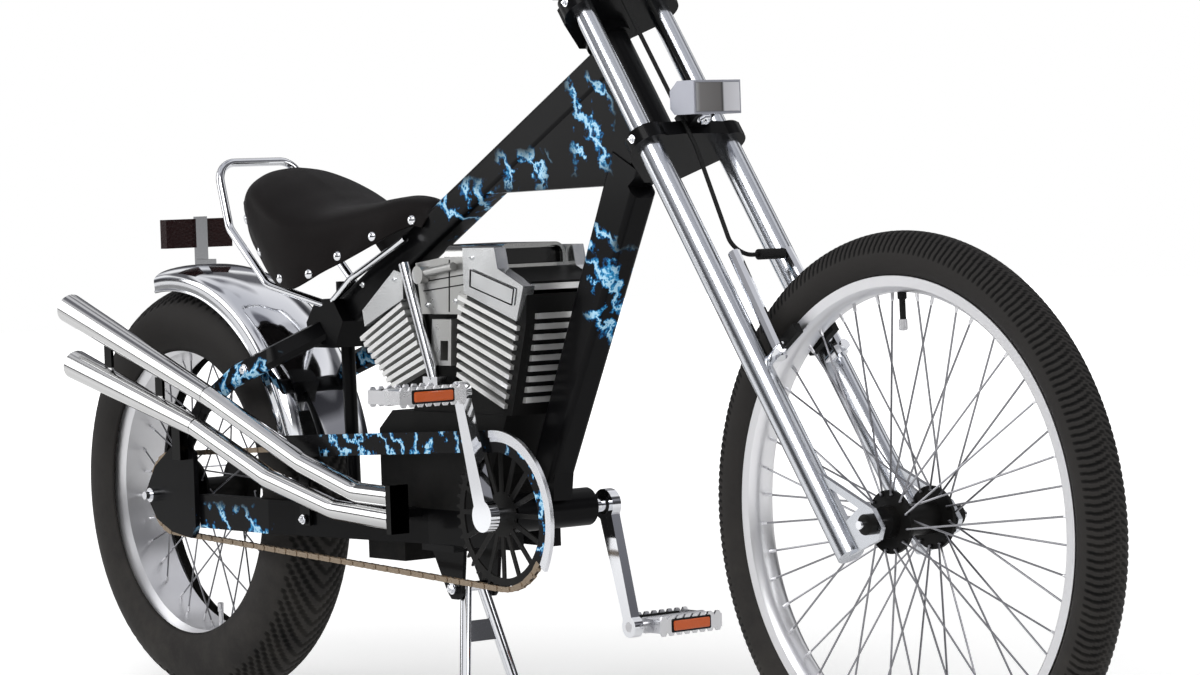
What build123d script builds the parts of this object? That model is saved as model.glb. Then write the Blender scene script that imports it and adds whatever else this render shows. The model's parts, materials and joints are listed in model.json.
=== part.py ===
# Chopper bicycle on its centre stand: raked fork, fat rear tyre, dummy V engine, twin pipes.
# Millimetres. X runs from the rear wheel to the front wheel, Y to the rider's left, Z up.
# The drawing's zero is on the floor below the rear axle; the last lines move everything so
# that the origin is on the floor below the middle of the machine.
from build123d import *
from math import asin, atan2, cos, degrees, hypot, pi, radians, sin, sqrt
import os

os.makedirs("parts", exist_ok=True)

# Wheels
WHEELBASE = 1392.0
FRONT_TYRE_R = 307.5
FRONT_TYRE_SECTION_R = 26.0
FRONT_TYRE_TALL = 47.5
FRONT_RIM_R = FRONT_TYRE_R - FRONT_TYRE_TALL
FRONT_RIM_HALF = 17.5
REAR_TYRE_R = 280.0
REAR_TYRE_SECTION_R = 57.5
REAR_TYRE_TALL = 68.0
REAR_RIM_R = REAR_TYRE_R - REAR_TYRE_TALL
REAR_RIM_HALF = 50.0
RIM_WALL = 2.5
RIM_DEPTH = 24.0
BEAD_DEPTH = 7.0
TYRE_FACETS = 5
SPOKE_R = 1.4
FRONT_SPOKES = 48
REAR_SPOKES = 36
SEAT_GAP = 0.3

# Hubs and axles
FRONT_FLANGE_Y = 30.0
FRONT_FLANGE_R = 34.0
REAR_FLANGE_Y = 40.0
REAR_FLANGE_R = 45.0
FLANGE_T = 4.0
FLANGE_EDGE = 4.0
HUB_BARREL_R = 17.0
HUB_CAP = 12.0
FRONT_AXLE_R = 5.0
REAR_AXLE_R = 6.0
AXLE_RUN = 0.05
AXLE_HOLE_RUN = 0.1
AXLE_END = 8.2
AXLE_END_STEP = 0.5
NUT_R = 9.5
NUT_T = 9.0

# Steering
RAKE_DEG = 54.35
AXLE_LEAD = 50.5
LEG_BEHIND_STEM = 40.0
LEG_Y = 55.5
LEG_R = 15.0
LEG_UPPER_R = 12.5
TIP_T = 6.0
CROWN_LOW_S = 537.0
CROWN_LOW_T = 18.0
CROWN_TOP_S = 732.0
CROWN_TOP_T = 22.0
CROWN_CLAMP_R = 24.0
LEG_TOP_S = 775.0
STEERER_R = 13.0
HEAD_R = 23.0
HEAD_BORE_R = 16.0
CUP_R = 28.0
CUP_T = 12.0
RUN = 0.5

# Handlebar, grips and levers
BAR_R = 11.0
GRIP_R = 15.5
GRIP_LENGTH = 125.0
RISER_R = 12.0
RISER_Y = 26.0
RISER_HEIGHT = 58.0
LEVER_R = 3.5

# Cranks and chain
BB_X = 747.0
BB_Z = 287.0
BB_R = 23.0
BB_HALF = 60.0
SPINDLE_R = 8.5
CRANK_LENGTH = 152.0
CRANK_Y = 91.0
CRANK_T = 13.0
CRANK_ANGLE = 106.0
CHAIN_Y = 67.0
CHAIN_HALF = 3.5
CHAIN_H = 9.0
PITCH = 12.7
RING_TEETH = 44
RING_SPOKES = 16
RING_BAND = 13.0
TOOTH_T = 2.4
TOOTH_RUN = 0.5
SPROCKET_TEETH = 26
PEDAL_SPINDLE_R = 6.0
PEDAL_INNER = 107.0
PEDAL_W = 96.0
PEDAL_L = 66.0
PEDAL_H = 24.0
PEDAL_PLATE = 3.0
PEDAL_TEETH = 8
PEDAL_TOOTH = 4.0

# Frame tubes
TOP_TUBE_S = 692.0
TOP_TUBE_AHEAD = 28.0
TOP_TUBE_DEPTH = 43.0
TOP_TUBE_WIDTH = 36.0
GUSSET_REACH = 323.0
DOWN_TUBE_S = 581.0
DOWN_TUBE_BEHIND = 46.0
DOWN_TUBE_TOP = 60.0
DOWN_TUBE_BOTTOM = 42.0
DOWN_TUBE_WIDTH = 36.0
TUBE_EDGE = 7.0
STAY_Y = 84.0
STAY_DEPTH = 30.0
STAY_WIDTH = 16.0
STAY_EDGE = 5.0
DROPOUT_Y = 92.0
DROPOUT_T = 7.0
SEAT_POST_X = 335.0
SEAT_POST_R = 9.0
SADDLE_CLAMP_R = 13.0
LOWER_STAY_DROP = 40.0
LOWER_STAY_DEPTH = 44.0
CROWN_ROOM_R = 62.0

# Fender, engine and pipes
FENDER_GAP = 25.0
FENDER_HALF = 62.5
FENDER_T = 2.5
FENDER_CROWN = [(-32, 62.5), (-15, 62.5), (-5, 48), (0, 24)]
FENDER_FROM = 12.0
FENDER_TO = 98.0
CYL_HALF = 50.0
FIN_HALF = 64.0
COVER_HALF = 67.0
FIN_COUNT = 9
FIN_T = 5.5
STRIP_COUNT = 9
STRIP_PITCH = 12.5
STRIP_T = 6.8
PIPE_R = 13.0
PIPE_END_R = 20.0
PIPE_WALL = 2.0
PIPE_MOUTH = 70.0

# Stand
STAND_X = 591.0
STAND_Z = 186.0
STAND_R = 7.0
STAND_PIN_R = 6.0
STAND_HIP_Y = 12.0
STAND_FOOT_X = 630.0
STAND_FOOT_Y = 50.0
CHEEK_Y = 24.0
CHEEK_T = 5.0

FRONT_AXLE_Z = FRONT_TYRE_R
REAR_AXLE_Z = REAR_TYRE_R
FENDER_R = REAR_TYRE_R + FENDER_GAP
LOWER_STAY_Z = REAR_AXLE_Z - LOWER_STAY_DROP
LOWER_STAY_TOP = LOWER_STAY_Z + LOWER_STAY_DEPTH
MIDDLE_X = (WHEELBASE + FRONT_TYRE_R - REAR_TYRE_R) / 2

# Fork frame: local z runs up along the legs, local x forward, square to them.
rake = radians(RAKE_DEG)
fork_up = Vector(-cos(rake), 0, sin(rake))
fork_front = Vector(sin(rake), 0, cos(rake))
fork_foot = Vector(WHEELBASE, 0, FRONT_AXLE_Z) - fork_front * AXLE_LEAD
FORK = Plane(origin=fork_foot, x_dir=fork_front, z_dir=fork_up)
STEM = Plane(origin=fork_foot - fork_front * LEG_BEHIND_STEM, x_dir=fork_front, z_dir=fork_up)
REAR_WHEEL = Location((0, 0, REAR_AXLE_Z), (90, 0, 0))
FRONT_WHEEL = Location((WHEELBASE, 0, FRONT_AXLE_Z), (90, 0, 0))
BRACKET = Location((BB_X, 0, BB_Z), (90, 0, 0))

ring_r = PITCH / 2 / sin(pi / RING_TEETH)
sprocket_r = PITCH / 2 / sin(pi / SPROCKET_TEETH)


def on_fork(x, y, z):
    return fork_foot + fork_front * x + fork_up * z + Vector(0, y, 0)


def on_stem(x, z):
    """The side view's (x, z) of a point ahead of the steering axis by x and z up along it."""
    at = fork_foot + fork_front * (x - LEG_BEHIND_STEM) + fork_up * z
    return (at.X, at.Z)


def along(start, end, reach, drop=0):
    """A side-view point on the line from start towards end, then lowered by drop."""
    share = reach / hypot(end[0] - start[0], end[1] - start[1])
    return (start[0] + (end[0] - start[0]) * share, start[1] + (end[1] - start[1]) * share - drop)


def side_face(y):
    return Plane(origin=(0, y, 0), x_dir=(1, 0, 0), z_dir=(0, -1, 0))


def plate(points, low_y, high_y):
    """A flat piece drawn in the side view, from low_y to high_y."""
    outline = make_face(Polyline(*points, close=True))
    return extrude(side_face(high_y) * outline, high_y - low_y)


def plate_of(face, low_y, thick):
    """Thicken a face drawn in the side view, from low_y towards the left."""
    return Pos(0, low_y + thick, 0) * extrude(side_face(0) * face, thick)


def plate_disc(at, radius, low_y, high_y):
    """A round boss along Y at an (x, z) point."""
    return Pos(at[0], (low_y + high_y) / 2, at[1]) * Rot(90, 0, 0) * Cylinder(radius, high_y - low_y)


def box(low, high):
    middle = [(a + b) / 2 for a, b in zip(low, high)]
    size = [b - a for a, b in zip(low, high)]
    return Pos(*middle) * Box(*size)


def both_sides(near, far):
    """The (low, high) pairs in Y of a piece between two distances, on the right and the left."""
    return ((-far, -near), (near, far))


def rod(points, radius, bend, sides=0):
    """A bent rod through points; round, or with a section of so many flat sides."""
    path = FilletPolyline(*points, radius=bend)
    flat = RegularPolygon(radius, sides) if sides else Circle(radius)
    return sweep(Plane(origin=path @ 0, z_dir=path % 0) * flat, path)


def bar(start, end, radius, end_radius=None):
    """A straight round bar between two points, tapered when end_radius is given."""
    start, end = Vector(*start), Vector(*end)
    way = end - start
    plane = Plane(origin=start, z_dir=way)
    if end_radius is None or end_radius == radius:
        return plane * Pos(0, 0, way.length / 2) * Cylinder(radius, way.length)
    return plane * Pos(0, 0, way.length / 2) * Cone(radius, end_radius, way.length)


def prism(start, end, radius, sides=6):
    start, end = Vector(*start), Vector(*end)
    way = end - start
    return extrude(Plane(origin=start, z_dir=way) * RegularPolygon(radius, sides), way.length)


def tube(start, end, width, start_depth, end_depth):
    """A deep box tube between two side-view points, with rounded long edges."""
    (ax, az), (bx, bz) = start, end
    length = hypot(bx - ax, bz - az)
    nx, nz = (az - bz) / length / 2, (bx - ax) / length / 2
    outline = [(ax - nx * start_depth, az - nz * start_depth), (bx - nx * end_depth, bz - nz * end_depth),
               (bx + nx * end_depth, bz + nz * end_depth), (ax + nx * start_depth, az + nz * start_depth)]
    solid = plate(outline, -width / 2, width / 2)
    long_edges = [e for e in solid.edges() if e.length > length * 0.9]
    return fillet(long_edges, TUBE_EDGE)


def disc(place, radius, low, high, bore=0):
    """A disc about a wheel's or bracket's axis; low and high count to the right side."""
    solid = Pos(0, 0, (low + high) / 2) * Cylinder(radius, high - low)
    if bore:
        solid -= Pos(0, 0, (low + high) / 2) * Cylinder(bore, high - low + 2)
    return place * solid


parts = {}

# Head tube with its two bearing cups, between the crowns
head_low = CROWN_LOW_S + CROWN_LOW_T + SEAT_GAP
head_high = CROWN_TOP_S - SEAT_GAP
head_length = head_high - head_low
head_mid = (head_low + head_high) / 2
head = Pos(0, 0, head_mid) * Cylinder(HEAD_R, head_length)
for cup_s in (head_low + CUP_T / 2, head_high - CUP_T / 2):
    head += Pos(0, 0, cup_s) * Cylinder(CUP_R, CUP_T)
head_envelope = STEM * head
parts["head_tube"] = STEM * (head - Pos(0, 0, head_mid) * Cylinder(HEAD_BORE_R, head_length + 2))

# The crowns sweep past the frame when the fork is steered, so the frame keeps out of this room.
below_head = STEM * Pos(0, 0, head_low - 60) * Cylinder(CROWN_ROOM_R, 120)
above_head = STEM * Pos(0, 0, head_high + 60) * Cylinder(CROWN_ROOM_R + 20, 120)

# Top tube, one straight box from the head to the seat cluster, with the deep gusset under it
TOP_TUBE_SEAT = (318.0, 507.0)
DOWN_TUBE_CRANK = (BB_X + 11, BB_Z + 43)
top_tube_head = on_stem(TOP_TUBE_AHEAD, TOP_TUBE_S)
down_tube_head = on_stem(-DOWN_TUBE_BEHIND, DOWN_TUBE_S)
top_tube = tube(TOP_TUBE_SEAT, top_tube_head, TOP_TUBE_WIDTH, TOP_TUBE_DEPTH, TOP_TUBE_DEPTH)
gusset = [along(top_tube_head, TOP_TUBE_SEAT, GUSSET_REACH + 59, 6),
          along(top_tube_head, TOP_TUBE_SEAT, 38),
          on_stem(10, TOP_TUBE_S - 90), on_stem(-10, TOP_TUBE_S - 112),
          along(down_tube_head, DOWN_TUBE_CRANK, 30),
          along(top_tube_head, TOP_TUBE_SEAT, GUSSET_REACH, 15)]
top_tube += plate(gusset, 2 - TOP_TUBE_WIDTH / 2, TOP_TUBE_WIDTH / 2 - 2)
for room in (head_envelope, below_head, above_head):
    top_tube -= room
top_tube = top_tube.solids().sort_by(SortBy.VOLUME)[-1]
parts["top_tube"] = top_tube

# Down tube, deep at the head and slimmer at the crank, with the crank's shell across its foot
shell = disc(BRACKET, BB_R, -BB_HALF, BB_HALF)
down_tube = tube(DOWN_TUBE_CRANK, down_tube_head, DOWN_TUBE_WIDTH, DOWN_TUBE_BOTTOM, DOWN_TUBE_TOP)
foot = [(BB_X + x, BB_Z + z) for x, z in ((-12, 13), (31, 13), (38, 58), (-7, 58))]
down_tube += plate(foot, -14, 14) + shell
for room in (head_envelope, below_head, above_head, top_tube):
    down_tube -= room
down_tube -= disc(BRACKET, SPINDLE_R + RUN, -BB_HALF - 5, BB_HALF + 5)
parts["down_tube"] = down_tube.solids().sort_by(SortBy.VOLUME)[-1]

# Seat post and the cluster plate at the top of the rear frame, with the saddle's clamp
post_foot = LOWER_STAY_TOP + SEAT_GAP
seat_post = bar((SEAT_POST_X, 0, post_foot), (SEAT_POST_X - 4, 0, 492), SEAT_POST_R)
CLUSTER = [(296, 478), (352, 478), (372, 512), (350, 540), (312, 540), (288, 510)]
saddle_clamp = bar((SEAT_POST_X - 3, 0, 538), (SEAT_POST_X - 3, 0, 562 - SEAT_GAP), SADDLE_CLAMP_R)
cluster = plate(CLUSTER, -34, 34) + seat_post + saddle_clamp
parts["seat_cluster"] = (cluster - top_tube).solids().sort_by(SortBy.VOLUME)[-1]

# Upper stays swoop out round the tyre; deep lower stays carry the dropouts
FENDER_BOLT = (226.0, 451.0)
UPPER_STAY = [(322, 30, 500), (288, STAY_Y, 470), (190, STAY_Y, 441), (112, STAY_Y, 402), (60, STAY_Y, 345)]
LOWER_STAY = [(99, 88), (260, 84), (310, 76), (560, 44), (724, 36)]
DROPOUT = [(-26, 2), (0, 38), (61, 76), (99, 60), (99, -40), (88, -54), (40, -48), (0, -32)]
upper_stays = Part()
lower_stays = Part()
half_width, half_depth = 7, STAY_DEPTH / 2
stay_section = [(-half_width, half_depth - STAY_EDGE), (STAY_EDGE - half_width, half_depth),
                (half_width - STAY_EDGE, half_depth), (half_width, half_depth - STAY_EDGE),
                (half_width, STAY_EDGE - half_depth), (half_width - STAY_EDGE, -half_depth),
                (STAY_EDGE - half_width, -half_depth), (-half_width, STAY_EDGE - half_depth)]
for side in (-1, 1):
    path = FilletPolyline(*[(x, side * y, z) for x, y, z in UPPER_STAY], radius=18)
    flat = make_face(Polyline(*stay_section, close=True))
    upper_stays += sweep(Plane(origin=path @ 0, x_dir=(0, 1, 0), z_dir=path % 0) * flat, path)
    outer = [(x, side * y) for x, y in LOWER_STAY]
    inner = [(x, side * (y - STAY_WIDTH)) for x, y in reversed(LOWER_STAY)]
    flat = make_face(Polyline(*outer, *inner, close=True))
    lower_stays += extrude(Plane.XY.offset(LOWER_STAY_Z) * flat, LOWER_STAY_DEPTH)
for low, high in both_sides(DROPOUT_Y - DROPOUT_T / 2, DROPOUT_Y + DROPOUT_T / 2):
    lower_stays += plate([(x, REAR_AXLE_Z + z) for x, z in DROPOUT], low, high)
lower_stays += box((SEAT_POST_X - 16, -70, LOWER_STAY_Z + 10), (SEAT_POST_X + 16, 70, LOWER_STAY_TOP))
lower_stays -= shell
lower_stays -= disc(REAR_WHEEL, REAR_AXLE_R + AXLE_HOLE_RUN, -150, 150)
for low, high in both_sides(FENDER_HALF + SEAT_GAP, STAY_Y - 6):
    upper_stays += plate_disc(FENDER_BOLT, 6, low, high)
parts["upper_stays"] = upper_stays - parts["seat_cluster"] - lower_stays - top_tube

# The stand's bracket hangs from the lower stays: a bridge plate with two cheeks round the pin
CHEEK = [(-46, 46), (21, 46), (14, -6), (6, -14), (-8, -14), (-16, -6)]
bracket = box((STAND_X - 46, -44, STAND_Z + 46), (STAND_X + 21, 44, LOWER_STAY_Z))
for low, high in both_sides(CHEEK_Y, CHEEK_Y + CHEEK_T):
    bracket += plate([(STAND_X + x, STAND_Z + z) for x, z in CHEEK], low, high)
pin_hole = plate_disc((STAND_X, STAND_Z), STAND_PIN_R + RUN, -CHEEK_Y - 20, CHEEK_Y + 20)
parts["lower_stays"] = lower_stays + bracket - pin_hole

# Chrome rear fender: a curved trough round the tyre, side braces, and the reflector's strap
BRACE = [(108, 554), (199, 475), (267, 498), (141, 561)]
BRACE_HOLE = [(150, 541), (196, 497), (226, 505), (160, 546)]
STRAP = [(-20, 0), (6, 0), (6, 12), (-14, 12), (-14, 70), (-20, 70)]
outside = [(FENDER_R + drop, y) for drop, y in FENDER_CROWN]
inside = [(FENDER_R + drop - FENDER_T, max(y - FENDER_T, 0)) for drop, y in FENDER_CROWN]
inside[0] = (FENDER_R + FENDER_CROWN[0][0], FENDER_HALF - FENDER_T)
skin = make_face(Polyline(*outside, *[(r, -y) for r, y in reversed(outside)],
                          *[(r, -y) for r, y in inside], *reversed(inside), close=True))
fender = REAR_WHEEL * Rot(0, 0, FENDER_FROM) * revolve(Plane.XZ * skin, Axis.Z, FENDER_TO - FENDER_FROM)
for low, high in both_sides(FENDER_HALF - FENDER_T, FENDER_HALF):
    brace = plate(BRACE, low, high) - plate(BRACE_HOLE, low - 1, high + 1)
    fender += brace & disc(REAR_WHEEL, FENDER_R, -FENDER_HALF - 1, FENDER_HALF + 1, FENDER_R - 62)
fender_top = REAR_AXLE_Z + FENDER_R - 5
strap = plate([(x, fender_top + z) for x, z in STRAP], -9, 9)
strap -= disc(REAR_WHEEL, FENDER_R - FENDER_T / 2, -20, 20)
parts["rear_fender"] = fender + strap
parts["rear_reflector"] = box((-36, -52, fender_top + 28), (-20 - SEAT_GAP, 52, fender_top + 67))

# Saddle: its sides come down over the top tube, so its underside is open there
SADDLE_SIDE = [(206, 700), (224, 655), (268, 582), (318, 556), (372, 556), (440, 580), (510, 614),
               (545, 636), (552, 652), (545, 668), (507, 670), (400, 660), (366, 662), (290, 688), (222, 712)]
SADDLE_TOP = [(200, 70), (235, 98), (300, 106), (360, 96), (430, 66), (510, 42), (590, 28)]
SADDLE_SLOT = [(262, 500), (262, 562), (345, 562), (430, 598), (600, 688), (600, 500)]
SADDLE_SLOT_HALF = 26
pad = plate(SADDLE_SIDE, -110, 110)
plan = SADDLE_TOP + [(x, -y) for x, y in reversed(SADDLE_TOP)]
pad &= extrude(Plane.XY.offset(540) * make_face(Polyline(*plan, close=True)), 200)
RAIL = [(346, 538), (388, 566), (512, 616)]
RAIL_Y = 30
RAIL_R = 4.5
rails = Part()
for side in (-1, 1):
    rails += rod([(x, side * RAIL_Y, z) for x, z in RAIL], RAIL_R, 20)
parts["saddle_rails"] = rails - parts["seat_cluster"]
parts["saddle"] = pad - plate(SADDLE_SLOT, -SADDLE_SLOT_HALF, SADDLE_SLOT_HALF) - rails

# Chrome loop behind the saddle
LOOP_SIDE = [(334, 24, 530), (250, 66, 560), (162, 66, 634), (130, 62, 720)]
LOOP_R = 5.5
LOOP_BEND = 28
loop_line = LOOP_SIDE + [(x, -y, z) for x, y, z in reversed(LOOP_SIDE)]
parts["saddle_loop"] = rod(loop_line, LOOP_R, LOOP_BEND) - parts["seat_cluster"]


# Dummy engine: plain blocks for the closed masses, with fins and covers that show
def fins(first, last, count, thick, low_y, high_y):
    """A row of slanting fins; first and last give the two ends of the first and last fin."""
    row = Part()
    for k in range(count):
        t = k / (count - 1)
        ax, az, bx, bz = [p + (q - p) * t for p, q in zip(first, last)]
        length = hypot(bx - ax, bz - az)
        nx, nz = (az - bz) / length * thick / 2, (bx - ax) / length * thick / 2
        outline = [(ax - nx, az - nz), (bx - nx, bz - nz), (bx + nx, bz + nz), (ax + nx, az + nz)]
        row += plate(outline, low_y, high_y)
    return row


FRONT_FINS = ((667, 545, 784, 508), (659, 452, 754, 415))
REAR_FINS = ((455, 492, 548, 536), (516, 434, 596, 462))
FRONT_BLOCK = [(662, 404), (762, 404), (796, 512), (800, 548), (690, 556)]
FRONT_CORNER = [(744, 404), (762, 404), (796, 512), (800, 548), (786, 549)]
REAR_BLOCK = [(446, 486), (512, 424), (600, 440), (562, 566), (452, 534)]
FRONT_COVER = [(684, 550), (684, 604), (748, 604), (754, 579), (804, 558), (788, 517)]
FRONT_PANEL = [(700, 558), (702, 578), (788, 555), (783, 536)]
PANEL_T = 2.0
REAR_COVER = [(470, 508), (466, 528), (538, 578), (556, 574), (556, 543)]
MIDDLE_COVER = [(572, 586), (622, 592), (682, 592), (682, 552), (664, 524), (582, 524)]
front_block = plate(FRONT_BLOCK, -CYL_HALF, CYL_HALF) + plate(FRONT_CORNER, -CYL_HALF - 9, CYL_HALF + 9)
rear_block = plate(REAR_BLOCK, -CYL_HALF, CYL_HALF)
ENGINE_CENTRE = [(540, 400), (680, 400), (692, 572), (566, 572)]
engine_case = plate(ENGINE_CENTRE, -46, 46) - front_block - rear_block
parts["cylinders"] = front_block + rear_block
cylinder_fins = Part()
covers = Part()
for low, high in both_sides(CYL_HALF, FIN_HALF):
    cylinder_fins += fins(*FRONT_FINS, FIN_COUNT, FIN_T, low, high)
    cylinder_fins += fins(*REAR_FINS, FIN_COUNT, FIN_T, low, high)
for low, high in both_sides(CYL_HALF, COVER_HALF):
    covers += plate(FRONT_COVER, low, high) + plate(REAR_COVER, low, high)
for low, high in both_sides(COVER_HALF, COVER_HALF + PANEL_T):
    covers += plate(FRONT_PANEL, low, high)
covers -= front_block
parts["head_covers"] = covers

# The middle cover fills the V of the cylinders, with a carburettor on each side of it
carburettor = Part()
for low, high in both_sides(46, 58):
    carburettor += plate(MIDDLE_COVER, low, high)
for low, high in both_sides(46, 64):
    carburettor += plate([(606, 462), (648, 462), (652, 518), (612, 518)], low, high)
    carburettor -= plate([(626, 468), (642, 468), (644, 492), (628, 492)], low, high)
for side in (-1, 1):
    carburettor += bar((592, side * 57, 572), (592, side * 70, 572), 11)
    carburettor += bar((598, side * 64, 574), (660, side * 64, 582), 5)
parts["carburettors"] = carburettor - covers - front_block - rear_block - cylinder_fins

# Front of the engine: horizontal chrome strips below a chrome sill, a black cowl, and the intake
strips = box((716, -52, 553), (800, 52, 560.2))
for k in range(STRIP_COUNT):
    z = 522 - STRIP_PITCH * k
    x = 796 + (z - 512) * (0.31 if z < 512 else 0.11)
    strips += box((x - 1, -46, z - STRIP_T / 2), (x + 5, 46, z + STRIP_T / 2))
parts["cylinder_fins"] = cylinder_fins - front_block + (strips - front_block - covers)
parts["front_cowl"] = plate([(716, 578.7), (737, 578.7), (798, 563), (798, 560.5), (716, 560.5)], -50, 50) - covers
INTAKE_FRONT = 734.0
INTAKE_WALL = 4.0
intake_face = Pos(0, 12) * RectangleRounded(100, 44, 15) - Pos(0, -10) * Rectangle(120, 30)
intake_mouth = Pos(0, 12) * RectangleRounded(100 - 2 * INTAKE_WALL, 44 - 2 * INTAKE_WALL, 11)
intake_mouth -= Pos(0, -6) * Rectangle(120, 30)
INTAKE = Plane(origin=(INTAKE_FRONT, 0, 574), x_dir=(0, 1, 0), z_dir=(1, 0, 0))
intake = extrude(INTAKE * intake_face, -112) - extrude(INTAKE * intake_mouth, -10)
parts["air_cleaner"] = intake - parts["front_cowl"] - covers - parts["carburettors"] - top_tube
BASE = [(470, LOWER_STAY_TOP + SEAT_GAP), (690, LOWER_STAY_TOP + SEAT_GAP), (704, 330), (740, 403.7),
        (500, 403.7), (470, 380)]
parts["engine_case"] = engine_case + plate(BASE, -50, 50) - parts["down_tube"]
parts["pushrods"] = bar((567, -72, 586), (623, -72, 445), 6.5) + box((608, -78, 430), (638, -50, 449))
parts["pushrods"] -= parts["cylinder_fins"] + parts["carburettors"] + rear_block
parts["controller_box"] = box((415, -35, 214), (495, 35, LOWER_STAY_TOP))

# Twin pipes on the right side, joined at the front, wider towards their open rear ends
UPPER_PIPE = [(180, -119, 418), (372, -102, 336), (476, -91, 303), (560, -88, 300)]
LOWER_PIPE = [(150, -120, 376), (300, -108, 315), (430, -94, 280), (560, -88, 272)]
UPPER_END = (-168, -120, 530)
LOWER_END = (-157, -120, 453)
pipes = Part()
for bends, end in ((UPPER_PIPE, UPPER_END), (LOWER_PIPE, LOWER_END)):
    pipes += rod(bends, PIPE_R, 60) + bar(end, bends[0], PIPE_END_R, PIPE_R)
for x, low_z, high_z in ((-70, 431, 498), (60, 399, 457)):
    pipes += box((x - 9, -121, low_z), (x + 9, -117, high_z))
for bends, end in ((UPPER_PIPE, UPPER_END), (LOWER_PIPE, LOWER_END)):
    way = (Vector(*bends[0]) - Vector(*end)).normalized()
    mouth = Vector(*end) + way * PIPE_MOUTH
    pipes -= bar(tuple(Vector(*end) - way), tuple(mouth), PIPE_END_R - PIPE_WALL)
dropout_face = -DROPOUT_Y - DROPOUT_T / 2
pipes += box((66, dropout_face - 12, REAR_AXLE_Z + 50), (86, dropout_face, REAR_AXLE_Z + 120))
pipes += box((553, -101.5, 256), (563, -74.5, 316))
parts["exhaust_pipes"] = pipes
parts["lower_stays"] += box((530, -82, LOWER_STAY_TOP - 10), (550, -40, LOWER_STAY_TOP)) - pipes

# Chain: one closed loop of straight runs round the two toothed wheels.
axle_gap = hypot(BB_X, BB_Z - REAR_AXLE_Z)
slope = asin((ring_r - sprocket_r) / axle_gap)
tilt = atan2(BB_Z - REAR_AXLE_Z, BB_X)


def chain_outline(grow):
    """Side view of the chain's loop, grown outward by grow."""
    wheels = ((0, REAR_AXLE_Z, sprocket_r + grow), (BB_X, BB_Z, ring_r + grow))
    up = tilt + pi / 2 + slope
    down = tilt - pi / 2 - slope
    tops = [(x + r * cos(up), z + r * sin(up)) for x, z, r in wheels]
    feet = [(x + r * cos(down), z + r * sin(down)) for x, z, r in wheels]
    back = (wheels[0][0] - wheels[0][2] * cos(tilt), REAR_AXLE_Z - wheels[0][2] * sin(tilt))
    front = (BB_X + wheels[1][2] * cos(tilt), BB_Z + wheels[1][2] * sin(tilt))
    edges = Curve() + Line(tops[0], tops[1]) + ThreePointArc(tops[1], front, feet[1])
    edges += Line(feet[1], feet[0]) + ThreePointArc(feet[0], back, tops[0])
    return make_face(edges)


# Two rows of plates flank the teeth; a few rollers join them on the two straight runs.
ROLLER_STEP = 8
loop = chain_outline(CHAIN_H / 2) - chain_outline(-CHAIN_H / 2)
plate_t = CHAIN_HALF - TOOTH_T / 2 - TOOTH_RUN
chain = Part()
for low_y in (-CHAIN_Y - CHAIN_HALF, -CHAIN_Y + TOOTH_T / 2 + TOOTH_RUN):
    chain += plate_of(loop, low_y, plate_t)
run_length = sqrt(axle_gap ** 2 - (ring_r - sprocket_r) ** 2)
for side in (-1, 1):
    turn = tilt + side * slope
    sx = -side * sprocket_r * sin(turn)
    sz = REAR_AXLE_Z + side * sprocket_r * cos(turn)
    for k in range(2, int(run_length / PITCH) - 1, ROLLER_STEP):
        x = sx + k * PITCH * cos(turn)
        z = sz + k * PITCH * sin(turn)
        chain += Pos(x, -CHAIN_Y, z) * Rot(0, -degrees(turn), 0) * Box(5, 2 * CHAIN_HALF - 1, 5)
parts["chain"] = chain

# Chain guard: a band over the upper run that ends in a crescent round the chainring
GUARD_CLEAR = 4.0
GUARD_T = 3.0
GUARD_LIP = 2.0
GUARD_OUTER_R = 106.0
GUARD_INNER_R = 80.0
guard_in = -CHAIN_Y - CHAIN_HALF - GUARD_CLEAR
guard_out = guard_in - GUARD_T
BAND = [(290, 338), (290, 367), (752, 388), (742, 362), (346, 342), (346, 254), (324, 254), (324, 339)]
crescent = Pos(BB_X + 6, BB_Z - 5) * (Circle(GUARD_OUTER_R) - Circle(GUARD_INNER_R))
rim_line = Pos(BB_X + 6, BB_Z - 5) * (Circle(GUARD_OUTER_R) - Circle(GUARD_OUTER_R - 8))
sector = make_face(Polyline((BB_X - 6, BB_Z + 7), (BB_X - 20, BB_Z + 150), (BB_X + 150, BB_Z + 150),
                            (BB_X + 150, BB_Z - 98), close=True))
guard = plate(BAND, guard_out, guard_in) + plate_of(crescent & sector, guard_out, GUARD_T)
guard += plate_of(rim_line & sector, guard_out - GUARD_LIP, GUARD_T + GUARD_LIP)
guard += plate_disc((655, 360.5), 3, guard_in - 1, -50 - SEAT_GAP)
guard += plate_disc((335, LOWER_STAY_Z + 22), 6, guard_in - 1, -71)
parts["chain_guard"] = guard - lower_stays

# The stand's two legs spread from the pin, with a web between them
stand = plate_disc((STAND_X, STAND_Z), STAND_PIN_R, -CHEEK_Y - CHEEK_T - 4, CHEEK_Y + CHEEK_T + 4)
for side in (-1, 1):
    hip = (STAND_X, side * STAND_HIP_Y, STAND_Z)
    ankle = (STAND_FOOT_X, side * STAND_FOOT_Y, STAND_R)
    stand += bar(hip, ankle, STAND_R)
    stand += bar((STAND_FOOT_X - 14, ankle[1], STAND_R), (STAND_FOOT_X + 14, ankle[1], STAND_R), STAND_R)
leg_way = Vector(STAND_FOOT_X - STAND_X, 0, STAND_R - STAND_Z)
leg_spread = (STAND_FOOT_Y - STAND_HIP_Y) / leg_way.length
LEGS = Plane(origin=(STAND_X, 0, STAND_Z), x_dir=(0, 1, 0), z_dir=leg_way.cross(Vector(0, 1, 0)))
web = [(side * (STAND_HIP_Y + leg_spread * down), LEGS.to_local_coords(
    Vector(STAND_X, 0, STAND_Z) + leg_way.normalized() * down).Y)
    for side, down in ((-1, 42), (1, 42), (1, 68), (-1, 68))]
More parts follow.
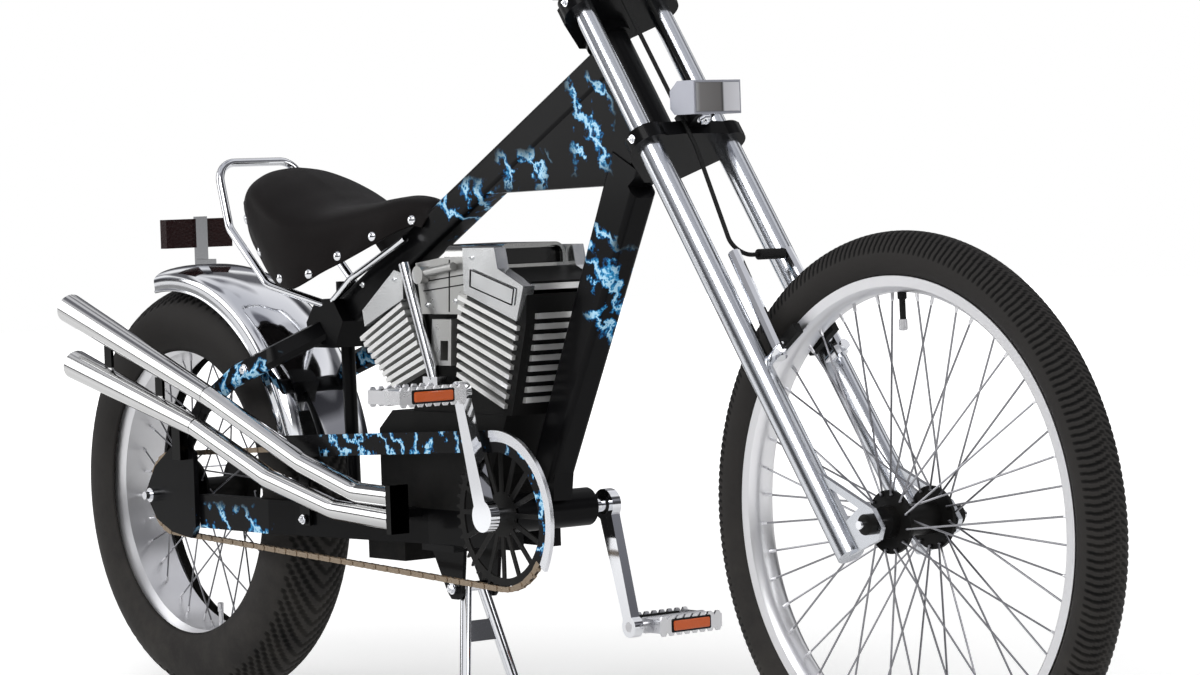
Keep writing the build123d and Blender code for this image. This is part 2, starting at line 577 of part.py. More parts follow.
stand += extrude(LEGS * make_face(Polyline(*web, close=True)), 2, both=True)
parts["stand_legs"] = stand

# Fork: legs, forged crowns with the steerer, dropout plates
CROWN_PLAN = [(-68, -22), (-68, 22), (-24, 70), (20, 70), (24, 20), (24, -20), (20, -70), (-24, -70)]


def crown(low, thick):
    plan = make_face(Polyline(*CROWN_PLAN, close=True))
    for side in (-1, 1):
        plan += Pos(0, side * LEG_Y) * Circle(CROWN_CLAMP_R)
    return extrude(Plane.XY.offset(low) * plan, thick)


legs = Part()
for side in (-1, 1):
    lower = Pos(0, side * LEG_Y, CROWN_LOW_S / 2 - 4) * Cylinder(LEG_R, CROWN_LOW_S + 8)
    upper = Pos(0, side * LEG_Y, (CROWN_LOW_S + LEG_TOP_S) / 2) * Cylinder(LEG_UPPER_R, LEG_TOP_S - CROWN_LOW_S)
    legs += lower + upper
steerer = Pos(-LEG_BEHIND_STEM, 0, (CROWN_LOW_S + CROWN_TOP_S) / 2) * Cylinder(
    STEERER_R, CROWN_TOP_S - CROWN_LOW_S)
parts["lower_crown"] = FORK * (crown(CROWN_LOW_S, CROWN_LOW_T) + steerer - legs)
upper_crown = crown(CROWN_TOP_S, CROWN_TOP_T) - legs

# Dropout plates with a triangular window
TIP = [(0, -8), (0, 92), (12, 92), (62, 12), (62, -12), (50, -20)]
TIP_WINDOW = [(19, 24), (19, 66), (44, 24)]
tips = Part()
for side in (-1, 1):
    web = make_face(Polyline(*TIP, close=True)) - make_face(Polyline(*TIP_WINDOW, close=True))
    tips += Pos(0, side * LEG_Y + TIP_T / 2, 0) * extrude(Plane.XZ * web, TIP_T)
parts["fork_legs"] = FORK * (legs + tips) - disc(FRONT_WHEEL, FRONT_AXLE_R + AXLE_HOLE_RUN, -150, 150)

# Handlebar on two clamped risers, with rubber grips over its ends and a lever before each grip
riser_foot = CROWN_TOP_S + CROWN_TOP_T
bar_s = riser_foot + RISER_HEIGHT
BAR_LINE = [(-40, 60, bar_s), (-22, 118, bar_s + 173), (-48, 262, bar_s + 200), (-205, 312, bar_s + 150)]
right_half = [on_fork(x, -y, z) for x, y, z in reversed(BAR_LINE)]
left_half = [on_fork(x, y, z) for x, y, z in BAR_LINE]
handlebar = rod([tuple(p) for p in right_half + left_half], BAR_R, 26)
grips = Part()
levers = Part()
for tip, before in ((right_half[0], right_half[1]), (left_half[-1], left_half[-2])):
    way = (tip - before).normalized()
    start = tip - way * (GRIP_LENGTH - 6)
    grip = bar(tuple(start), tuple(tip + way * 6), GRIP_R)
    grips += grip - bar(tuple(start - way * 2), tuple(tip), BAR_R)
    collar = start - way * 24
    out = fork_front * 30 - fork_up * 8
    levers += bar(tuple(collar), tuple(collar + way * 14), BAR_R + 5)
    levers += prism(tuple(collar + way * 7), tuple(collar + way * 7 + out), LEVER_R + 3)
    levers += prism(tuple(collar + way * 7 + out), tuple(tip - way * 18 + out * 1.3), LEVER_R + 0.5)
parts["handlebar"] = handlebar
parts["grips"] = grips
parts["brake_levers"] = levers - handlebar
riser = Part()
for side in (-1, 1):
    at = Pos(-LEG_BEHIND_STEM, side * RISER_Y, riser_foot)
    riser += at * Pos(0, 0, (RISER_HEIGHT - 12) / 2) * Cylinder(RISER_R, RISER_HEIGHT - 12)
    riser += at * Pos(0, 0, RISER_HEIGHT) * Box(34, 22, 32)
parts["upper_crown"] = FORK * (upper_crown + riser) - handlebar

# Front lamp: a chrome housing on a bracket of the lower crown, with a clear lens in its mouth
LAMP_AT = on_fork(58, 0, CROWN_LOW_S + 25)
LAMP_HALF = (21.5, 34.0, 19.0)
LAMP_WALL = 2.5
LENS_T = 5.0
LAMP = Location(tuple(LAMP_AT))
side_view = [(LAMP_HALF[0], -LAMP_HALF[2]), (LAMP_HALF[0], LAMP_HALF[2]), (-8, LAMP_HALF[2]),
             (-LAMP_HALF[0], 8), (-LAMP_HALF[0], -12), (-14, -LAMP_HALF[2])]
housing = plate(side_view, -LAMP_HALF[1], LAMP_HALF[1])
inner_half = (LAMP_HALF[1] - LAMP_WALL, LAMP_HALF[2] - LAMP_WALL)
front_x = LAMP_HALF[0]
housing -= box((front_x - 22, -inner_half[0], -inner_half[1]), (front_x + 1, *inner_half))
lens = box((front_x - LENS_T, SEAT_GAP - inner_half[0], SEAT_GAP - inner_half[1]),
           (front_x + 1.5, inner_half[0] - SEAT_GAP, inner_half[1] - SEAT_GAP))
parts["lamp_housing"] = LAMP * housing
parts["lamp_lens"] = LAMP * lens
stem_of_lamp = FORK * (Pos(30, 0, CROWN_LOW_S + CROWN_LOW_T + 2) * Box(36, 26, 22))
lamp_body = LAMP * plate(side_view, -LAMP_HALF[1], LAMP_HALF[1])
parts["lower_crown"] += stem_of_lamp - lamp_body
parts["lower_crown"] = parts["lower_crown"].solids().sort_by(SortBy.VOLUME)[-1]

# Rim brake: an arm, a shoe and a pivot on each side, in front of the legs
BRAKE_PIVOT_S = 236.0
BRAKE_ARM = 134.0
BRAKE_X = 27.0
PAD_S = 250.0
PAD_T = 9.0
CABLE_R = 2.5
CABLE_X = 28.0
BOOT_R = 6.0
noodle_s = BRAKE_PIVOT_S + BRAKE_ARM - 5
arms = Part()
pads = Part()
for side in (-1, 1):
    arms += Pos(BRAKE_X - 8, side * 46, BRAKE_PIVOT_S) * Rot(0, 90, 0) * Cylinder(6, 34)
    arms += prism((BRAKE_X, side * 44, BRAKE_PIVOT_S - 8), (BRAKE_X, side * 38, BRAKE_PIVOT_S + BRAKE_ARM), 7, 8)
    pads += Pos(BRAKE_X, side * (FRONT_RIM_HALF + 4 + PAD_T / 2), PAD_S) * Box(50, PAD_T, 12)
    arms += Pos(BRAKE_X, side * 35, PAD_S) * Rot(90, 0, 0) * Cylinder(4, 20)

# The brake's cable runs from the right lever down past the crowns to a bend over the two arms;
# a lead runs from the left lever to the lamp's foot.
cable_line = [(-56, -272, bar_s + 183), (0, -255, bar_s + 196), (34, -110, bar_s + 130),
              (CABLE_X, -18, CROWN_TOP_S + 30), (CABLE_X, -18, CROWN_LOW_S - 20),
              (CABLE_X, -40, noodle_s), (CABLE_X, 40, noodle_s)]
lead_line = [(-56, 272, bar_s + 183), (0, 255, bar_s + 196), (34, 110, bar_s + 130),
             (CABLE_X, 20, CROWN_TOP_S + 30), (CABLE_X, 20, CROWN_LOW_S + 60),
             (16, 20, CROWN_LOW_S + CROWN_LOW_T)]
cable = rod(cable_line, CABLE_R, 22, 6)
boot = bar((CABLE_X, -6, noodle_s), (CABLE_X, 30, noodle_s), BOOT_R)
lead = rod(lead_line, CABLE_R, 15, 6)
cables = FORK * (cable + boot - arms + lead)
parts["cables"] = cables - parts["brake_levers"] - parts["lower_crown"]
parts["brake_arms"] = FORK * (arms - legs - pads)
parts["brake_pads"] = FORK * pads


# Wheels
def tyre(radius, section_r, rim_r, rim_half):
    """A round-sectioned tyre of flat cones, seated on the edges of the rim's walls."""
    centre = radius - section_r
    flat_turn = pi / 2 * (1 - 1 / TYRE_FACETS)
    outline = [(rim_r + SEAT_GAP, rim_half)]
    for k in range(TYRE_FACETS + 1):
        turn = pi * k / TYRE_FACETS
        outline.append((centre + section_r * sin(turn) / sin(flat_turn), section_r * cos(turn)))
    outline += [(rim_r + SEAT_GAP, -rim_half)]
    return revolve(Plane.XZ * make_face(Polyline(*outline, close=True)), Axis.Z)


def rim(rim_r, rim_half):
    seat = rim_r - BEAD_DEPTH
    inner = rim_r - RIM_DEPTH
    outline = [(rim_r, rim_half), (rim_r, rim_half - RIM_WALL), (seat, rim_half - RIM_WALL),
               (seat, RIM_WALL - rim_half), (rim_r, RIM_WALL - rim_half), (rim_r, -rim_half),
               (inner, -rim_half * 0.6), (inner, rim_half * 0.6)]
    return revolve(Plane.XZ * make_face(Polyline(*outline, close=True)), Axis.Z)


def spokes(count, flange_r, flange_y, rim_r):
    """Crossed spokes from the inner and outer faces of both flanges to the rim."""
    pieces = []
    per_side = count // 2
    start_r = flange_r - FLANGE_EDGE
    end_r = rim_r - RIM_DEPTH - SEAT_GAP
    lean = flange_y * FLANGE_EDGE / (end_r - start_r) * 1.5
    for k in range(count):
        side = 1 if k % 2 else -1
        step = k // 2
        lead = 1 if step % 2 else -1
        hub_turn = 2 * pi * (step + 0.25 * side) / per_side
        rim_turn = hub_turn + lead * 2 * pi * 2.5 / per_side
        hub_y = side * (flange_y + lead * (FLANGE_T / 2 + SPOKE_R + SEAT_GAP + lean))
        start = (start_r * cos(hub_turn), start_r * sin(hub_turn), hub_y)
        end = (end_r * cos(rim_turn), end_r * sin(rim_turn), side * 3)
        pieces.append(prism(start, end, SPOKE_R, 4))
    return Compound(children=pieces)


def hub(flange_r, flange_y, axle_r):
    solid = Cylinder(HUB_BARREL_R, 2 * (flange_y + HUB_CAP))
    for side in (-1, 1):
        solid += Pos(0, 0, side * flange_y) * Cylinder(flange_r, FLANGE_T)
    return solid - Cylinder(axle_r + AXLE_RUN, 2 * flange_y + 3 * HUB_CAP)


parts["front_tyre"] = FRONT_WHEEL * tyre(FRONT_TYRE_R, FRONT_TYRE_SECTION_R, FRONT_RIM_R, FRONT_RIM_HALF)
parts["front_rim"] = FRONT_WHEEL * rim(FRONT_RIM_R, FRONT_RIM_HALF)
parts["front_spokes"] = FRONT_WHEEL * spokes(FRONT_SPOKES, FRONT_FLANGE_R, FRONT_FLANGE_Y, FRONT_RIM_R)
parts["front_hub"] = FRONT_WHEEL * hub(FRONT_FLANGE_R, FRONT_FLANGE_Y, FRONT_AXLE_R)
parts["rear_tyre"] = REAR_WHEEL * tyre(REAR_TYRE_R, REAR_TYRE_SECTION_R, REAR_RIM_R, REAR_RIM_HALF)
parts["rear_rim"] = REAR_WHEEL * rim(REAR_RIM_R, REAR_RIM_HALF)
parts["rear_spokes"] = REAR_WHEEL * spokes(REAR_SPOKES, REAR_FLANGE_R, REAR_FLANGE_Y, REAR_RIM_R)
rear_hub = hub(REAR_FLANGE_R, REAR_FLANGE_Y, REAR_AXLE_R)


# Axles with their nuts
def axle(place, radius, nut_from):
    """A round axle with a nut near each end; past the nuts its threads are a step thinner."""
    nut_to = nut_from + NUT_T
    reach = nut_to + AXLE_END
    solid = disc(place, radius - AXLE_END_STEP, -reach, reach) + disc(place, radius, -nut_to, nut_to)
    for low, high in both_sides(nut_from, nut_to):
        solid += disc(place, NUT_R, low, high)
    return solid


parts["front_axle"] = axle(FRONT_WHEEL, FRONT_AXLE_R, LEG_Y + TIP_T / 2 + SEAT_GAP)
parts["rear_axle"] = axle(REAR_WHEEL, REAR_AXLE_R, DROPOUT_Y + DROPOUT_T / 2 + SEAT_GAP)


# Toothed wheels: the sprocket turns with the rear hub, the spoked chainring with the cranks
def toothed(radius, teeth, thick):
    """One outline of straight-sided teeth all round, extruded."""
    root = radius - PITCH * 0.32
    tip = radius + 2.5
    outline = []
    for k in range(teeth):
        for r, share in ((root, 0.25), (tip, 0.42), (tip, 0.58), (root, 0.75)):
            turn = 2 * pi * (k + share) / teeth
            outline.append((r * cos(turn), r * sin(turn)))
    return extrude(make_face(Polyline(*outline, close=True)), thick / 2, both=True)


RING_HUB_R = 27.0
ring = toothed(ring_r, RING_TEETH, TOOTH_T)
ring_band_r = ring_r - RING_BAND
ring -= Cylinder(ring_band_r, 20) - Cylinder(RING_HUB_R, 20)
for k in range(RING_SPOKES):
    spoke = Pos((ring_band_r + RING_HUB_R) / 2, 0, 0) * Box(ring_band_r - RING_HUB_R + 4, 6, TOOTH_T)
    ring += Rot(0, 0, 360 * k / RING_SPOKES) * spoke
ring -= Cylinder(SPINDLE_R, 20)
parts["chainring"] = BRACKET * Pos(0, 0, CHAIN_Y) * ring
boss_from = REAR_FLANGE_Y + FLANGE_T / 2
boss = Pos(0, 0, (boss_from + CHAIN_Y) / 2) * Cylinder(24, CHAIN_Y - boss_from)
rear_hub += Pos(0, 0, CHAIN_Y) * toothed(sprocket_r, SPROCKET_TEETH, TOOTH_T) + boss
parts["rear_hub"] = REAR_WHEEL * (rear_hub - Cylinder(REAR_AXLE_R + AXLE_RUN, 200))

# Cranks on the spindle, and a toothed cage pedal at each end
CRANK_BOSS_R = 19.0
CRANK_EYE_R = 13.0
spindle = disc(BRACKET, SPINDLE_R, -(CRANK_Y + CRANK_T / 2), CRANK_Y + CRANK_T / 2)
crank_turn = radians(CRANK_ANGLE)
reach = (CRANK_LENGTH * cos(crank_turn), CRANK_LENGTH * sin(crank_turn))
cage_step = PEDAL_W / PEDAL_TEETH
cage_line = [(0, -PEDAL_H / 2), (PEDAL_W, -PEDAL_H / 2)]
for edge in (1, -1):
    row = []
    for k in range(PEDAL_TEETH):
        for share, height in ((0.1, 0), (0.3, PEDAL_TOOTH), (0.7, PEDAL_TOOTH), (0.9, 0)):
            row.append(((k + share) * cage_step, edge * (PEDAL_H / 2 - PEDAL_TOOTH + height)))
    cage_line = row if edge == 1 else cage_line + row[::-1]
cranks = spindle
for side, way in ((-1, 1), (1, -1)):
    y = side * CRANK_Y
    end = (BB_X + way * reach[0], BB_Z + way * reach[1])
    flat = make_face(Polyline((0, -12), (CRANK_LENGTH, -8), (CRANK_LENGTH, 8), (0, 12), close=True))
    flat += Circle(CRANK_BOSS_R) + Pos(CRANK_LENGTH, 0) * Circle(CRANK_EYE_R)
    flat -= Pos(CRANK_LENGTH, 0) * Circle(PEDAL_SPINDLE_R + AXLE_RUN)
    turn = CRANK_ANGLE if way == 1 else CRANK_ANGLE + 180
    arm = extrude(flat, CRANK_T / 2, both=True)
    cranks += Location((BB_X, y, BB_Z), (90, 0, 0)) * Rot(0, 0, turn) * arm
    y0, y1 = sorted((side * PEDAL_INNER, side * (PEDAL_INNER + PEDAL_W)))
    inner = side * (CRANK_Y - CRANK_T / 2)
    low, high = sorted((inner, side * (PEDAL_INNER + PEDAL_W - 6)))
    pedal = plate_disc(end, PEDAL_SPINDLE_R, low, high)
    low, high = sorted((side * (PEDAL_INNER + 2), side * (PEDAL_INNER + PEDAL_W - 3)))
    pedal += plate_disc(end, 10, low, high)
    for edge in (-1, 1):
        x = end[0] + edge * (PEDAL_L - PEDAL_PLATE) / 2
        face = Plane(origin=(x, y0, end[1]), x_dir=(0, 1, 0), z_dir=(1, 0, 0))
        pedal += extrude(face * make_face(Polyline(*cage_line, close=True)), PEDAL_PLATE / 2, both=True)
    for y_end in (y0, y1 - PEDAL_PLATE):
        pedal += box((end[0] - PEDAL_L / 2, y_end, end[1] - 8), (end[0] + PEDAL_L / 2, y_end + PEDAL_PLATE, end[1] + 8))
    parts["pedal_right" if side < 0 else "pedal_left"] = pedal
parts["cranks"] = cranks - parts["chainring"]

# The whole machine, moved so that zero is below its middle
for name, piece in parts.items():
    export_step(Pos(-MIDDLE_X, 0, 0) * piece, "parts/" + name + ".step")
print(len(parts), "nodes written")
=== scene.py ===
# %% [markdown]
# # A chopper bicycle, dressed over its CAD frame
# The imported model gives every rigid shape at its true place, in metres. This lesson loads it,
# looks at it through the photograph's camera, gives each surface a finish, and then adds the
# soft and small pieces that a solid modeller does badly: tread, saddle, links, spokes, bolts.

# %% Load the frame
import bpy
import json
from math import asin, atan2, cos, exp, floor, hypot, pi, radians, sin, sqrt
from mathutils import Matrix, Vector


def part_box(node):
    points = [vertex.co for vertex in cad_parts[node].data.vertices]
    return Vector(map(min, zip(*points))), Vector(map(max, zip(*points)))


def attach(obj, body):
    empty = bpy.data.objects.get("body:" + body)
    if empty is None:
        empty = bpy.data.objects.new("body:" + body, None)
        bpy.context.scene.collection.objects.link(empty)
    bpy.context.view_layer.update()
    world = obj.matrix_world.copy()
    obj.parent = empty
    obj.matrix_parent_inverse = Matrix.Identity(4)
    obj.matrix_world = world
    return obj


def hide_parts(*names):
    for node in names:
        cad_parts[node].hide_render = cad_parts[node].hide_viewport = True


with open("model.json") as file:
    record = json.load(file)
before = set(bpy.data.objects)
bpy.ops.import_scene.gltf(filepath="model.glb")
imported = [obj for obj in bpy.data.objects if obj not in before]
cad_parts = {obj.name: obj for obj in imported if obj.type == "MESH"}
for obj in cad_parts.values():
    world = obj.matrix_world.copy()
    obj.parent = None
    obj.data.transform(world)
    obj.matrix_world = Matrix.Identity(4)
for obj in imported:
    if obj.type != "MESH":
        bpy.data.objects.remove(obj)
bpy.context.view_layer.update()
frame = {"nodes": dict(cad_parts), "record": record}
nodes = frame["nodes"]

# %% [markdown]
# All measures below are in millimetres from the floor under the rear axle, because a bicycle is
# measured from its axles. One small function turns such a point into the model's metres. It
# reads the rear axle's place from the frame, so it follows the CAD if that moves.

# %% Millimetres from the rear axle
def middle_of(node):
    low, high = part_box(node)
    return (low + high) / 2


rear_axle = middle_of("rear_axle")
front_axle = middle_of("front_axle")
MM = 0.001


def at(x, y, z):
    return Vector((rear_axle.x + x * MM, y * MM, z * MM))


def scene_object(name, data):
    thing = bpy.data.objects.new(name, data)
    bpy.context.scene.collection.objects.link(thing)
    return thing


WHEELBASE = (front_axle.x - rear_axle.x) / MM
REAR_AXLE_Z = rear_axle.z / MM
FRONT_AXLE_Z = front_axle.z / MM
print("wheelbase in mm:", round(WHEELBASE, 1))

# %% [markdown]
# ## The camera
# The photograph was taken from ahead of the machine and to its right, with a long lens. The
# wheels' outlines give the camera's place, its turn and its focal length. A lens shift keeps
# the optical axis where it was, because the picture was cropped after it was taken.

# %% Camera
CAMERA_PLACE = at(4336.03, -2683.75, 671.96)
CAMERA_YAW = radians(142.273)
CAMERA_PITCH = radians(0.968)
CAMERA_ROLL = radians(-1.95)
FOCAL_PX = 3745.7
PICTURE_PX = 1200
SENSOR_MM = 36
AXIS_ABOVE_MIDDLE_PX = 87.52

forward = Vector((cos(CAMERA_PITCH) * cos(CAMERA_YAW),
                  cos(CAMERA_PITCH) * sin(CAMERA_YAW),
                  -sin(CAMERA_PITCH)))
level = Vector((sin(CAMERA_YAW), -cos(CAMERA_YAW), 0))
upward = level.cross(forward)
right = level * cos(CAMERA_ROLL) + upward * sin(CAMERA_ROLL)
above = upward * cos(CAMERA_ROLL) - level * sin(CAMERA_ROLL)
lens = bpy.data.cameras.new("camera")
lens.sensor_width = SENSOR_MM
lens.lens = SENSOR_MM * FOCAL_PX / PICTURE_PX
lens.shift_y = -AXIS_ABOVE_MIDDLE_PX / PICTURE_PX
camera = scene_object("camera", lens)
turn = Matrix((right, above, -forward)).transposed()
camera.matrix_world = Matrix.Translation(CAMERA_PLACE) @ turn.to_4x4()
bpy.context.scene.camera = camera
print("lens in mm:", round(lens.lens, 2))

# %% [markdown]
# ## Light
# A product picture of chrome needs large soft lights and a pale room for the metal to mirror.
# A wide lamp stands above, ahead on the machine's right. Two lower ones fill in, one from behind
# on the right and one from ahead on the left.

# %% Lamps
LOOK_AT = Vector((0, 0, 0.4))


def area_lamp(name, place, width, height, power):
    lamp = bpy.data.lights.new(name, "AREA")
    lamp.shape = "RECTANGLE"
    lamp.size, lamp.size_y, lamp.energy = width, height, power
    aim = (LOOK_AT - place).to_track_quat("-Z", "Y").to_matrix()
    scene_object(name, lamp).matrix_world = Matrix.Translation(place) @ aim.to_4x4()


area_lamp("lamp_key", Vector((1.6, -2.4, 3.2)), 2.2, 1.6, 62)
area_lamp("lamp_side", Vector((-2.6, -2.2, 1.6)), 1.6, 2.0, 22)
area_lamp("lamp_front", Vector((3.4, 1.2, 1.8)), 1.4, 2.0, 20)
bpy.context.scene.view_settings.view_transform = "Standard"
print("three lamps are in place")

# %% [markdown]
# Materials and the world are built from nodes. Small helpers keep those cells short: one adds a
# node and sets its values, the others do sums, map a range, make clouds of noise and mix colours.

# %% Node helpers
def is_socket(value):
    return isinstance(value, bpy.types.NodeSocket)


def add(tree, kind, values=None, **settings):
    """Add a node; settings are its own properties, values its sockets: numbers or links."""
    node = tree.nodes.new(kind)
    for name, value in settings.items():
        setattr(node, name, value)
    for key, value in (values or {}).items():
        if is_socket(value):
            tree.links.new(value, node.inputs[key])
        else:
            node.inputs[key].default_value = value
    return node


def maths(tree, operation, *terms, clamp=False):
    sockets = dict(enumerate(terms))
    return add(tree, "ShaderNodeMath", sockets, operation=operation, use_clamp=clamp).outputs[0]


def diagonal(tree, first, second):
    """The long side of a right triangle over its two short sides."""
    squares = [maths(tree, "MULTIPLY", side, side) for side in (first, second)]
    return maths(tree, "SQRT", maths(tree, "ADD", *squares))


def arrows(tree, operation, *terms):
    """A sum of places or arrows, so of three numbers at a time."""
    return add(tree, "ShaderNodeVectorMath", dict(enumerate(terms)), operation=operation).outputs[0]


def split(tree, arrow):
    return add(tree, "ShaderNodeSeparateXYZ", {0: arrow}).outputs


def ranged(tree, value, low, high, to_low=0.0, to_high=1.0):
    """Map a value from low to high onto 0 to 1, or onto to_low to to_high, and stop at both ends."""
    ends = {0: value, 1: low, 2: high, 3: to_low, 4: to_high}
    return add(tree, "ShaderNodeMapRange", ends).outputs[0]


def clouds(tree, spot, scale, detail, roughness=0.5):
    values = {"Vector": spot, "Scale": scale, "Detail": detail, "Roughness": roughness}
    return add(tree, "ShaderNodeTexNoise", values).outputs


def shaken(tree, spot, scale, detail, roughness, reach):
    """Push each place about by a cloud of noise, by up to half of reach each way."""
    push = arrows(tree, "SUBTRACT", clouds(tree, spot, scale, detail, roughness)["Color"], (0.5, 0.5, 0.5))
    push = add(tree, "ShaderNodeVectorMath", {0: push, "Scale": reach}, operation="SCALE").outputs[0]
    return arrows(tree, "ADD", spot, push)


def stops(tree, factor, *colours):
    """A colour ramp; each colour is (place, (r, g, b))."""
    ramp = add(tree, "ShaderNodeValToRGB", {0: factor})
    marks = ramp.color_ramp.elements
    while len(marks) < len(colours):
        marks.new(0.5)
    for mark, (place, colour) in zip(marks, colours):
        mark.position = place
        mark.color = (*colour, 1)
    return ramp.outputs["Color"]


def blend_colours(tree, factor, first, second, how="MIX"):
    first, second = (c if is_socket(c) else (*c, 1) for c in (first, second))
    mix = add(tree, "ShaderNodeMix", {0: factor, 6: first, 7: second}, data_type="RGBA", blend_type=how)
    return mix.outputs[2]


def place_of_surface(tree):
    """Where a point of the surface is, in the model's metres."""
    return add(tree, "ShaderNodeTexCoord").outputs["Object"]


def ways_seen(tree):
    """Two masks: what is seen straight or through glass, and what a mirror sees."""
    rays = add(tree, "ShaderNodeLightPath").outputs
    straight = maths(tree, "MAXIMUM", rays["Is Camera Ray"], rays["Is Transmission Ray"])
    return straight, rays["Is Glossy Ray"]


def shader_of(material):
    return material.node_tree.nodes["Principled BSDF"]


print("node helpers are ready")

# %% [markdown]
# The world is dim for the light that it throws, so that the lamps model the shapes, and full
# white for what the camera and glass see. Mirrors see a white room with a dark band low on its
# walls, another halfway up, and some vague dark patches, as between a studio's soft boxes,
# because chrome with nothing dark to mirror looks like white plastic.

# %% World
world = bpy.data.worlds.new("world")
world.use_nodes = True
bpy.context.scene.world = world
room = world.node_tree
way_out = add(room, "ShaderNodeTexCoord").outputs["Generated"]
walls = stops(room, split(room, way_out)["Z"],
              (0.0, (0.3, 0.3, 0.3)), (0.03, (0.04, 0.04, 0.045)), (0.24, (0.08, 0.08, 0.085)),
              (0.31, (0.85, 0.86, 0.88)), (0.46, (1, 1, 1)), (0.53, (0.16, 0.16, 0.17)),
              (0.64, (0.12, 0.12, 0.13)), (0.7, (0.9, 0.9, 0.92)), (0.95, (0.55, 0.56, 0.6)))
patch_tone = stops(room, clouds(room, way_out, 2.3, 1.0)["Fac"], (0.42, (0.25, 0.25, 0.27)), (0.5, (1, 1, 1)))
mirrored = blend_colours(room, 1.0, walls, patch_tone, "MULTIPLY")
seen, in_mirrors = ways_seen(room)
plain = maths(room, "MAXIMUM", seen, maths(room, "SUBTRACT", 1.0, in_mirrors))
strength = ranged(room, maths(room, "MAXIMUM", seen, in_mirrors), 0.0, 1.0, 0.5, 1.0)
glow = room.nodes["Background"].inputs
room.links.new(blend_colours(room, plain, mirrored, (1, 1, 1)), glow["Color"])
room.links.new(strength, glow["Strength"])
print("world nodes:", len(room.nodes))

# %% [markdown]
# ## Floor
# The floor is a plain white sheet. It takes the machine's soft shadow, and far away, where the
# lamps no longer reach it, its own faint glow lifts it to the white of the backdrop.

# %% Floor
FLOOR = 14.0
floor_mesh = bpy.data.meshes.new("floor")
corners = [(x * FLOOR, y * FLOOR, 0) for x, y in ((-1, -1), (1, -1), (1, 1), (-1, 1))]
floor_mesh.from_pydata(corners, [], [(0, 1, 2, 3)])
floor_sheet = scene_object("floor", floor_mesh)
floor_white = bpy.data.materials.new("floor_white")
floor_white.use_nodes = True
tree = floor_white.node_tree
paper = shader_of(floor_white).inputs
paper["Base Color"].default_value = (0.9, 0.9, 0.9, 1)
paper["Roughness"].default_value = 0.8
paper["Specular IOR Level"].default_value = 0.1
paper["Emission Color"].default_value = (1, 1, 1, 1)
far = add(tree, "ShaderNodeVectorMath", {0: place_of_surface(tree)}, operation="LENGTH").outputs["Value"]
seen, in_mirrors = ways_seen(tree)
part_seen = maths(tree, "MAXIMUM", seen, maths(tree, "MULTIPLY", in_mirrors, 0.4))
lift = ranged(tree, far, 0.7, 6.0, 0.34, 1.0)
tree.links.new(maths(tree, "MULTIPLY", lift, part_seen), paper["Emission Strength"])
floor_mesh.materials.append(floor_white)
print("floor is", 2 * FLOOR, "m wide")

# %% [markdown]
# ## Effects that several finishes share
# Real surfaces are never one flat value. Fingers leave smudges on paint and chrome, rubber and
# cast parts have a grain, and road dust settles low on the machine. Each effect is one group
# with its own amounts, so that a finish says only how much of it there is.

# %% Grain, smudges and dust
SOCKETS = {float: "NodeSocketFloat", tuple: "NodeSocketVector", list: "NodeSocketColor"}


def effect(name, inputs, outputs):
    """A node group; inputs are named values and outputs named kinds, where a list is a colour."""
    tree = bpy.data.node_groups.new(name, "ShaderNodeTree")
    for label, value in inputs.items():
        kind = SOCKETS[type(value)]
        socket = tree.interface.new_socket(name=label, in_out="INPUT", socket_type=kind)
        socket.default_value = (*value, 1) if isinstance(value, list) else value
    for label, kind in outputs.items():
        tree.interface.new_socket(name=label, in_out="OUTPUT", socket_type=SOCKETS[kind])
    return tree, tree.nodes.new("NodeGroupInput").outputs, tree.nodes.new("NodeGroupOutput").inputs


def use(tree, group, **values):
    """Place a group, with a value or a link for each named input."""
    return add(tree, "ShaderNodeGroup", values, node_tree=group).outputs


grain, given, result = effect("grain", {"Scale": 900.0}, {"Height": float})
speckle = clouds(grain, place_of_surface(grain), given["Scale"], 3.0)["Fac"]
grain.links.new(speckle, result["Height"])

smudges, given, result = effect("smudges", {"Roughness": 0.3, "Change": 0.2, "Scale": 14.0},
                                {"Roughness": float})
cloud = clouds(smudges, place_of_surface(smudges), given["Scale"], 5.0, 0.65)["Fac"]
offset = maths(smudges, "MULTIPLY", maths(smudges, "SUBTRACT", cloud, 0.5), given["Change"])
smudges.links.new(maths(smudges, "ADD", given["Roughness"], offset, clamp=True), result["Roughness"])

dust, given, result = effect("road dust", {"Clean": [0.02, 0.02, 0.02], "Dust": [0.3, 0.27, 0.23],
                                           "Amount": 0.3, "Up To": 0.45}, {"Colour": list})
spot = place_of_surface(dust)
height_share = maths(dust, "DIVIDE", split(dust, spot)["Z"], given["Up To"])
low_down = maths(dust, "SUBTRACT", 1.0, height_share, clamp=True)
patchy = ranged(dust, clouds(dust, spot, 26.0, 6.0, 0.7)["Fac"], 0.38, 0.72)
dusty = maths(dust, "MULTIPLY", maths(dust, "MULTIPLY", low_down, patchy), given["Amount"], clamp=True)
dust.links.new(blend_colours(dust, dusty, given["Clean"], given["Dust"]), result["Colour"])
print("effects:", grain.name, smudges.name, dust.name)
